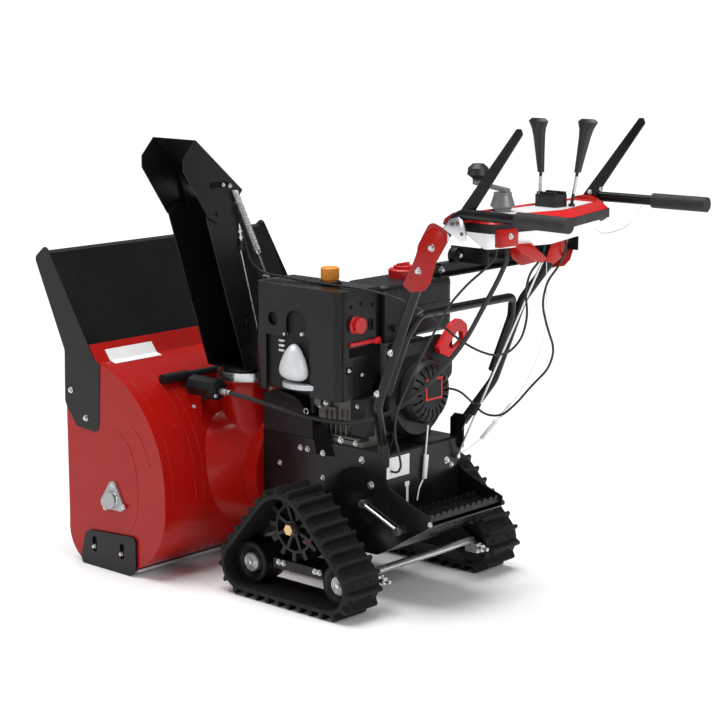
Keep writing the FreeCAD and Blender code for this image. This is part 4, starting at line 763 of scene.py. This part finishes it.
chuteSleeve = dict(
    cable=((0.1812, -0.2885, 0.914), (0.1785, -0.2885, 0.888), 0.0062, 18),
    stiffener=((0.16, -0.2929, 0.684), (0.166, -0.2905, 0.7), 0.0006, 1))
hoodSlot = ((0.232, -0.2866, 1.0605), (0.291, -0.2815, 1.0745), 0.003, 3)
hoodBolts = ((0.222, -0.2866, 1.0625, 10, 0.62), (0.251, -0.2815, 1.0675, 30, 0.55))
makePiece("chuteRods", addShapes(addRod, chuteRods), "zincSteel", "chute")
sleeveParts = [addRod("cableSleeve", *chuteSleeve["cable"]), addBlock("sideStiffener", *chuteSleeve["stiffener"])]
makePiece("chuteSleeve", sleeveParts, "blackPlastic", "chute")
# painted shade: a black bar where the hood's slot shows its dark inside
makePiece("deflectorSlotBar", [addBlock("slotBar", *hoodSlot)], "voidBlack", "chute_deflector")
placeBolts("deflectorBolts", spotsFacing(rearward, hoodBolts), body="chute_deflector")
print("chute fittings placed")

# chute gearbox fittings
shaftCollars = dict(
    shaftCollar=((0.2225, -0.3338, 0.505), (0.2213, -0.311, 0.5045), 0.01, 8, 0.001, 2),
    shaftNeck=((0.2213, -0.311, 0.5045), (0.2205, -0.297, 0.5042), 0.0078, 20, 0.001, 2))
gearboxBolts = dict(
    rear=((0.24, -0.3341, 0.4935, 20, 0.62), (0.205, -0.3341, 0.4935, 45, 0.62)),
    side=((0.2421, -0.418, 0.452, 0, 0.7),))
makePiece("shaftCollars", addShapes(addRod, shaftCollars), "zincSteel")
placeBolts("gearboxBolts", spotsFacing(rearward, gearboxBolts["rear"]) + spotsFacing(left, gearboxBolts["side"]))

# auger bearing flanges: three bolts and a ring each
bearing = dict(
    bolts=((0.424, -0.5484, 0.245, 8, 0.72), (0.424, -0.583, 0.175, 31, 0.72), (0.424, -0.508, 0.19, 50, 0.72)),
    ring=(0.0185, 0.0022, 36), ringPlace=(0.4246, -0.552, 0.204, 0, 1))
bearingParts = copiesAt(makeBolt(bolt), onBothSides(bearing["bolts"]))
bearingParts += copiesAt(addRing(*bearing["ring"]), onBothSides([bearing["ringPlace"]]))
makePiece("bearingBolts", bearingParts, "zincSteel")

# frame's rear: blank plate, clip, clutch wire with its spring, bolts
frameRear = dict(
    plate=((0.0555, 0.1958, 0.335), (0.144, 0.1968, 0.3895), 0.0004, 1), clips=dict(
        frameClip=((0.06, 0.1962, 0.257), (0.069, 0.198, 0.314), 0.0006, 1),
        frameClipHead=((0.057, 0.1962, 0.304), (0.074, 0.1984, 0.316), 0.0006, 1)),
    hook=(
        (-0.0139, 0.2003, 0.4529), (-0.0045, 0.2003, 0.376), (0.003, 0.2003, 0.3132), (0.0208, 0.2003, 0.2901),
        (0.0285, 0.2003, 0.2592)),
    wire=0.0022, spring=((-0.0045, 0.203, 0.376), (0.003, 0.203, 0.3132), 0.0068, 18, 0.001, 2),
    bolts=((-0.0935, 0.196, 0.3438, 10, 1), (-0.113, 0.196, 0.329, 30, 0.8)))
finishPiece(addBlock("framePlate", *frameRear["plate"]), "labelWhite")
makePiece("frameClips", addShapes(addBlock, frameRear["clips"]), "labelWhite")
hookParts = addBead("hookWire", frameRear["hook"], frameRear["wire"], 10) + [addRod("hookSpring", *frameRear["spring"])]
makePiece("clutchHook", hookParts, "labelWhite")
placeBolts("frameRearBolts", spotsFacing(rearward, frameRear["bolts"]))
print("frame fittings placed")

# housing plate, laid on the curved top
housingPlate = dict(low=(0.2045, -0.628), high=(0.3745, -0.585), lift=0.0009, above=0.72, cells=(24, 12))


def layPlate(values, target):
    startFresh()
    (x0, y0), (x1, y1) = values["low"], values["high"]
    bpy.ops.mesh.primitive_grid_add(x_subdivisions=values["cells"][0], y_subdivisions=values["cells"][1], size=1.0,
                                    location=((x0 + x1) / 2, (y0 + y1) / 2, values["above"]))
    sheet = bpy.context.object
    sheet.scale = (x1 - x0, y1 - y0, 1.0)
    applyAll(sheet)
    wrap = sheet.modifiers.new("wrap", "SHRINKWRAP")
    wrap.target = target
    wrap.wrap_method = "PROJECT"
    wrap.use_project_z = True
    wrap.use_negative_direction = True
    wrap.use_positive_direction = False
    wrap.offset = values["lift"]
    bpy.ops.object.modifier_apply(modifier="wrap")
    sheet.name = "housingPlate"
    return sheet


finishPiece(layPlate(housingPlate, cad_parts["auger_housing"]), "labelWhite")

# shroud; dark marks on its back and holes in its top, flat black of painted shade: low x and z, high x and z, how far
# they stand out
shroud = dict(
    back=0.085, sink=0.001, dark=dict(
        slotDark=(0.05, 0.64, 0.165, 0.664, 0.0006), seamDown=(0.144, 0.53, 0.1456, 0.633, 0.0005),
        seamOver=(0.05, 0.6314, 0.1456, 0.633, 0.0005), padLow=(0.105, 0.58, 0.126, 0.6, 0.0006),
        padCorner=(0.156, 0.598, 0.176, 0.617, 0.0006)),
    screwHoles=((0.158, 0.773), (0.077, 0.771), (0.12, 0.777)), screwHole=0.0052, holeStart=(0.066, -0.205),
    holeStep=(0.0138, 0.0135), holeCount=(9, 13), hole=0.0034, holeZ=(0.8132, 0.8143),
    keyRing=(0.0115, 0.0026, 32, (0.077, 0.085, 0.719), (90, 0, 0)), keyStretch=1.7,
    keyTab=((0.0725, 0.084, 0.703), (0.0815, 0.093, 0.733), 0.002, 2), choke=dict(
        chokeBar=((0.05, 0.084, 0.669), (0.164, 0.0905, 0.68), 0.0025, 2),
        chokeTip=((0.05, 0.084, 0.666), (0.072, 0.0935, 0.683), 0.003, 2)),
    screws=((0.1157, 0.0856, 0.5898, 0, 0.6), (0.166, 0.0856, 0.6078, 15, 0.6)))
shroudIn = shroud["back"] - shroud["sink"]
darkParts = [addBlock(name, (x0, shroudIn, z0), (x1, shroud["back"] + out, z1))
             for name, (x0, z0, x1, z1, out) in shroud["dark"].items()]
darkParts += [addRod("screwHole", (x, shroudIn, z), (x, shroud["back"] + 0.0005, z), shroud["screwHole"], 16)
              for x, z in shroud["screwHoles"]]
# each top hole is a dark disc: painted shade inside the hole
topHoles = []
for i in range(shroud["holeCount"][1]):
    for j in range(shroud["holeCount"][0]):
        holeX = shroud["holeStart"][0] + (j + i % 2 / 2) * shroud["holeStep"][0]
        holeY = shroud["holeStart"][1] + i * shroud["holeStep"][1]
        topHoles.append(addRod("topHole", *((holeX, holeY, z) for z in shroud["holeZ"]), shroud["hole"], 8))
makePiece("shroudDarkParts", darkParts + topHoles, "voidBlack")
keyRing = addRing(*shroud["keyRing"])
keyRing.scale = (1.0, 1.0, shroud["keyStretch"])
makePiece("keySwitch", [applyAll(keyRing), addBlock("keyTab", *shroud["keyTab"])], "blackPlastic")
makePiece("chokeSlider", addShapes(addBlock, shroud["choke"]), "redPlastic")
placeBolts("shroudScrews", spotsFacing(rearward, shroud["screws"]))
print("shroud holes:", len(topHoles))

# recoil plate, left bare
recoil = dict(
    rim=((-0.068, 0.2015, 0.518), (-0.001, 0.2034, 0.576), 0.0014, 3),
    face=((-0.0625, 0.203, 0.5235), (-0.0065, 0.2041, 0.5705), 0.0004, 1))
finishPiece(addBlock("recoilRim", *recoil["rim"]), "redPlastic")
finishPiece(addBlock("recoilFace", *recoil["face"]), "blackPlastic")

# fuel and oil caps: ribs round the rim, and the oil cap's neck
capRibs = dict(
    fuel=dict(centre=(-0.126, 0.015), radius=0.0385, low=0.8155, high=0.8335, count=26, rib=0.0021),
    oil=dict(centre=(0.1, -0.042), radius=0.0232, low=0.829, high=0.855, count=20, rib=0.0016))
oilNeck = (0.0265, 0.0042, 40, (0.1, -0.042, 0.8175))


def makeCapRibs(values):
    ribs = []
    for i in range(values["count"]):
        turn = 2 * math.pi * i / values["count"]
        x = values["centre"][0] + values["radius"] * math.cos(turn)
        y = values["centre"][1] + values["radius"] * math.sin(turn)
        ribs.append(addRod("capRib", (x, y, values["low"]), (x, y, values["high"]), values["rib"], 6))
    return ribs


makePiece("fuelCapRibs", makeCapRibs(capRibs["fuel"]), "redPlastic")
makePiece("oilCapRibs", makeCapRibs(capRibs["oil"]), "orangePlastic")
finishPiece(addRing(*oilNeck), "blackPlastic").name = "oilCapNeck"
print("housing, shroud and caps dressed")

# control area: spool on the channel, bolts, red clips under the panel
spool = dict(
    spoolOuter=((0.18, 0.4385, 0.943), (0.18, 0.46, 0.943), 0.0205, 32, 0.002, 2),
    spoolInner=((0.18, 0.46, 0.943), (0.18, 0.465, 0.943), 0.0115, 24, 0.001, 2))
controlBolts = dict(
    rear=((0.18, 0.465, 0.943, 12, 0.7), (0.223, 0.4382, 0.9105, 30, 0.95), (0.1912, 0.6225, 1.005, 15, 0.8)),
    side=((0.2793, 0.518, 1.034, 0, 0.55), (0.2793, 0.535, 1.037, 20, 0.55), (0.2793, 0.548, 1.012, 40, 0.5)))
panelClips = dict(
    block=((0.16, 0.605, 0.98), (0.2285, 0.6225, 1.022), 0.002, 2), plates=dict(
        clipArm=(
            "y", 0.596, 0.599,
            ((0.1459, 0.98), (0.0798, 0.9757), (0.0151, 0.9327), (0.0348, 0.9226), (0.1184, 0.9579))),
        clipLower=(
            "y", 0.55, 0.553, ((0.1043, 0.97), (0.0334, 0.97), (-0.0076, 0.9172), (0.0562, 0.9142), (0.0961, 0.9379))),
        clipRight=(
            "y", 0.55, 0.553,
            ((-0.0401, 0.9138), (-0.0714, 0.97), (-0.1377, 0.97), (-0.1139, 0.921), (-0.0772, 0.9049))),
        clipLink=("y", 0.55, 0.605, ((0.15, 0.98), (0.16, 0.98), (0.16, 0.995), (0.15, 0.995)))))
makePiece("channelSpool", addShapes(addRod, spool), "blackPlastic")
placeBolts("controlBolts", spotsFacing(rearward, controlBolts["rear"]) + spotsFacing(left, controlBolts["side"]))
clips = [addBlock("clipBlock", *panelClips["block"])] + addShapes(addPlate, panelClips["plates"])
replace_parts(makePiece("panelRedClips", clips, "redPaint"), "panel_brackets")

# handle wing plates: curved outer skins, with the panel's ear behind each
wing = dict(
    skin=(0.2784, 0.2812), skinBevel=0.001, outline=(
        (0.3701, 0.876), (0.3956, 0.859), (0.4333, 0.8657), (0.4519, 0.8845), (0.47, 0.9389), (0.502, 1),
        (0.4692, 1.0245), (0.4353, 1.0074), (0.4137, 0.9744), (0.406, 0.933), (0.396, 0.904)),
    ear=(0.226, 0.25), earBevel=0.0045, earOutline=(
        (0.46, 1.024), (0.468, 1.04), (0.49, 1.054), (0.516, 1.061), (0.5474, 1.06), (0.5655, 1.052), (0.5477, 1.0377),
        (0.495, 1.024)),
    bolts=((0.281, 0.4163, 0.912, 10, 0.95), (0.281, 0.4574, 0.9715, 40, 0.95)))
for side, name in ((1, "wingSkinLeft"), (-1, "wingSkinRight")):
    wingParts = [addPlate("wingSkin", "x", *(side * x for x in wing["skin"]), wing["outline"], wing["skinBevel"]),
                 addPlate("panelEar", "x", *(side * x for x in wing["ear"]), wing["earOutline"], wing["earBevel"])]
    finishPiece(editAll(joinPieces(name, wingParts), faceOutward), "redPaint")
placeBolts("wingBolts", onBothSides(wing["bolts"]))
print("control fittings placed")

# rolled creases on the housing: y and z of their points, then their x and thickness
creases = dict(
    sideLong=(
        (-0.5461, 0.406), (-0.5141, 0.3861), (-0.4827, 0.3524), (-0.4638, 0.314), (-0.457, 0.2737), (-0.4547, 0.2186),
        (-0.4647, 0.161), (-0.4861, 0.129)),
    sideShort=((-0.4765, 0.4195), (-0.4528, 0.4039), (-0.4336, 0.3795), (-0.4146, 0.347), (-0.4035, 0.3186)), drum=(
        (-0.5158, 0.5388), (-0.4665, 0.5043), (-0.4149, 0.4501), (-0.378, 0.3887), (-0.3559, 0.3246), (-0.347, 0.2365),
        (-0.3537, 0.1498)))
creasePlaces = dict(sideLong=((0.418,), 0.0013), sideShort=((0.418,), 0.0013), drum=((0.276, 0.306, 0.388), 0.0014))
beads = []
for which, (places, thick) in creasePlaces.items():
    for x in places:
        line = smoothLine([(x, y, z) for y, z in creases[which]])
        beads += addBead("crease", line, thick) + addBead("crease", mirrorLine(line), thick)
makePiece("housingBeads", beads, "redPaint", smoothAngle=60.0)
print("housing creases rolled")

# dark backs of the skid slots: painted shade seen through each slot
skidSlots = dict(
    left=((0.4181, -0.6465, 0.042), (0.4196, -0.6305, 0.086), (0, 0.1133, 0), 2),
    right=((-0.4196, -0.6465, 0.042), (-0.4181, -0.6305, 0.086), (0, 0.1133, 0), 2))
slotBacks = addRow("slotBack", *skidSlots["left"]) + addRow("slotBack", *skidSlots["right"])
makePiece("skidSlotBacks", slotBacks, "voidBlack")

# engine casting below the shroud
engine = dict(
    ribs=((0.1275, -0.03, 0.418), (0.134, -0.0265, 0.492), (0, 0.018, 0), 5, 0.001, 2), blocks=dict(
        linkPlate=((0.1275, -0.06, 0.487), (0.137, 0.01, 0.496), 0.002, 2),
        linkLump=((0.1275, -0.058, 0.496), (0.148, -0.034, 0.518), 0.004, 3),
        footStep=((0.115, -0.01, 0.418), (0.1385, 0.092, 0.424), 0.0015, 2)),
    boss=((0.1275, -0.014, 0.507), (0.147, -0.014, 0.507), 0.0105, 20, 0.0015, 2), covers=dict(
        engineCornerCover=((0.09, 0.056, 0.426), (0.131, 0.1095, 0.53), 0.006, 3),
        engineStrap=((0.1275, -0.078, 0.47), (0.14, -0.066, 0.525), 0.002, 2)),
    bolts=(
        (0.1401, 0.033, 0.4132, 0, 0.95), (0.1401, 0.085, 0.412, 30, 0.8), (0.1401, -0.02, 0.4132, 15, 0.7),
        (0.134, -0.046, 0.4915, 20, 0.6), (0.1469, -0.014, 0.507, 0, 0.75), (0.1309, 0.083, 0.508, 0, 0.6)),
    ring=(0.0075, 0.0018, 28, (0.1475, -0.0857, 0.4738), (0, 90, 0)))
engineParts = addRow("castRib", *engine["ribs"]) + addShapes(addBlock, engine["blocks"])
engineParts.append(addRod("linkBoss", *engine["boss"]))
makePiece("engineCastings", engineParts, "crankcase")
makePiece("engineCovers", addShapes(addBlock, engine["covers"]), "blackPlastic")
engineFittings = copiesAt(makeBolt(bolt), spotsFacing(left, engine["bolts"]))
makePiece("engineBolts", engineFittings + [addRing(*engine["ring"])], "zincSteel")

# shift gate: a serrated brush over each slot
gate = dict(
    right=((-0.089, 0.52, 1.072), (-0.077, 0.525, 1.085), (0, 0.0085, 0), 7, 0.001, 1),
    left=((-0.053, 0.52, 1.072), (-0.041, 0.525, 1.085), (0, 0.0085, 0), 7, 0.001, 1))
gateParts = addRow("gateTooth", *gate["right"]) + addRow("gateTooth", *gate["left"])
makePiece("gateTeeth", gateParts, "blackPlastic")

# inner skin of the hood's far side
farSkin = ("y", -0.4335, -0.432, ((0.2714, 1.1032), (0.1994, 1.0767), (0.17, 1.01), (0.2376, 0.9992)), 0.0004)
finishPiece(addPlate("deflectorFarSkin", *farSkin), "chutePlastic", "chute_deflector")

# silver tabs beside the wing plates
tab = dict(
    x=(0.279, 0.2806), bevel=0.0004, outline=(
        (0.4934, 1.0194), (0.5114, 1.0444), (0.5385, 1.0513), (0.5507, 1.0429), (0.5633, 0.9995), (0.5453, 0.9909),
        (0.5301, 1.0013)),
    bolts=((0.2805, 0.548, 1.012, 10, 0.5), (0.2805, 0.518, 1.034, 0, 0.55), (0.2805, 0.535, 1.037, 20, 0.55)))
tabs = [addPlate("tabSkin", "x", *(side * x for x in tab["x"]), tab["outline"], tab["bevel"]) for side in (1, -1)]
makePiece("pivotTabs", tabs, "zincSteel")
placeBolts("pivotTabBolts", onBothSides(tab["bolts"]), "darkSteel")

# thin wires, and fittings on the clutch rod and harness
gripWire = dict(
    points=(
        (-0.3774, 0.6, 1.0264), (-0.3475, 0.6, 0.9957), (-0.3084, 0.6, 0.9788), (-0.2562, 0.6, 0.971),
        (-0.2087, 0.6, 0.9729), (-0.174, 0.6, 0.9887)),
    wire=0.0011)
clutchRod = dict(
    rods=dict(
        rodAdjuster=((-0.1765, 0.345, 0.505), (-0.1715, 0.318, 0.47), 0.0042, 12),
        rodNut=((-0.1725, 0.323, 0.477), (-0.1712, 0.317, 0.469), 0.0072, 6, 0.0006, 1),
        rodSpring=((-0.169, 0.305, 0.455), (-0.161, 0.262, 0.402), 0.0066, 16, 0.0012, 2),
        rodWireJoint=((-0.1715, 0.318, 0.47), (-0.169, 0.305, 0.455), 0.0016, 6)),
    wireHigh=(
        (-0.185, 0.447, 0.895), (-0.2, 0.435, 0.708), (-0.19, 0.403, 0.6), (-0.18, 0.366, 0.531),
        (-0.1765, 0.345, 0.505)),
    wireLow=((-0.161, 0.262, 0.402), (-0.15, 0.22, 0.366), (-0.14, 0.1955, 0.35)), wire=0.0012)
harnessPlug = ((-0.112, 0.29, 0.508), (-0.108, 0.272, 0.478), 0.0085, 16, 0.002, 2)
makePiece("gripWires", addBead("gripWire", smoothLine(gripWire["points"]), gripWire["wire"], 6), "zincSteel")
rodFittings = addShapes(addRod, clutchRod["rods"])
for which in ("wireHigh", "wireLow"):
    rodFittings += addBead("rodWire", smoothLine(clutchRod[which]), clutchRod["wire"], 6)
makePiece("clutchRodFittings", rodFittings, "labelWhite")
makePiece("harnessPlugs", [addRod("harnessPlug", *harnessPlug)], "blackPlastic")
print("tabs, wires and fittings placed")

# frame cut-outs drawn as dark plates of painted shade, chute gearbox casing and lever pivots
frameCutShades = dict(
    x=(0.1476, 0.1486), bevel=0.0003,
    belt=((-0.063, 0.4428), (-0.0159, 0.45), (0.0055, 0.4103), (0.0196, 0.3669), (-0.0489, 0.3637)),
    rear=((0.0445, 0.336), (0.0729, 0.3489), (0.122, 0.3571), (0.129, 0.2917), (0.0728, 0.2871), (0.0301, 0.2958)))
gearCase = dict(
    gearCase=((0.2225, -0.44, 0.508), (0.2225, -0.338, 0.508), 0.03, 8, 0.0025, 3),
    gearCaseLip=((0.2225, -0.356, 0.508), (0.2225, -0.348, 0.508), 0.032, 8, 0.0012, 2))
gearCaseFoot = ((0.205, -0.43, 0.478), (0.24, -0.37, 0.486), 0.0015, 2)
leverPivots = ((-0.242, 0.5366, 1.0684, 10, 0.7), (-0.242, 0.5702, 1.0783, 35, 0.6))
cutParts = [addPlate("frameCut", "x", *(side * x for x in frameCutShades["x"]), frameCutShades[which], frameCutShades["bevel"])
            for which in ("belt", "rear") for side in (1, -1)]
makePiece("frameCutShades", cutParts, "voidBlack")
caseParts = addShapes(addRod, gearCase) + [addBlock("gearCaseFoot", *gearCaseFoot)]
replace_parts(makePiece("chuteGearCase", caseParts, "blackPlastic"), "chute_gearbox")
placeBolts("leverPivots", spotsFacing(left, leverPivots))

# fuel cap hub and grip bar
fuelHub = dict(
    hub=((-0.126, 0.015, 0.835), (-0.126, 0.015, 0.844), 0.0265, 40, 0.0025, 3),
    bar=((-0.1485, 0.01, 0.843), (-0.1035, 0.02, 0.851), 0.002, 2))
makePiece("fuelCapHub", [addRod("fuelHub", *fuelHub["hub"]), addBlock("fuelHubBar", *fuelHub["bar"])], "redPlastic")

# engine's right side
fins = ((-0.1405, -0.1, 0.47), (-0.1345, 0.086, 0.4745), (0, 0, 0.015), 12, 0.0012, 2)
rightSide = dict(
    lump=((-0.1345, 0.02, 0.442), (-0.156, 0.02, 0.442), 0.026, 32, 0.003, 3),
    strap=((-0.14, -0.08, 0.428), (-0.1345, -0.02, 0.456), 0.0015, 2),
    bolts=((-0.156, 0.02, 0.442, 0, 0.9), (-0.14, -0.07, 0.442, 20, 0.8), (-0.14, -0.032, 0.442, 40, 0.8)))
makePiece("engineSideFins", addRow("sideFin", *fins), "crankcase")
lumpParts = [addRod("sideLump", *rightSide["lump"]), addBlock("sideStrap", *rightSide["strap"])]
makePiece("engineSideLumps", lumpParts, "blackPlastic")
placeBolts("engineSideBolts", spotsFacing(right, rightSide["bolts"]))

# grip ends: a dark disc on each, painted shade inside the open end
gripEnd = dict(place=(0.268, 0.855, 1.056), along=(-0.0593, 0.9982, 0), length=0.0022, radius=0.0046)
gripEnds = []
for side in (1, -1):
    start, along = (Vector((side * v[0], v[1], v[2])) for v in (gripEnd["place"], gripEnd["along"]))
    gripEnds.append(addRod("gripEnd", start, start + along * gripEnd["length"], gripEnd["radius"], 16))
makePiece("gripEnds", gripEnds, "voidBlack")

# tank: moulded ribs
tank = dict(
    rear=((-0.232, 0.0908, 0.7), (0.02, 0.0934, 0.7022), (0, 0, 0.045), 3, 0.0008, 2),
    side=((-0.2514, -0.046, 0.7), (-0.2488, 0.076, 0.7022), (0, 0, 0.045), 3, 0.0008, 2))
makePiece("tankRibs", addRow("tankRib", *tank["rear"]) + addRow("tankRib", *tank["side"]), "blackPlastic")
print("frame, gearbox, right side and tank dressed")
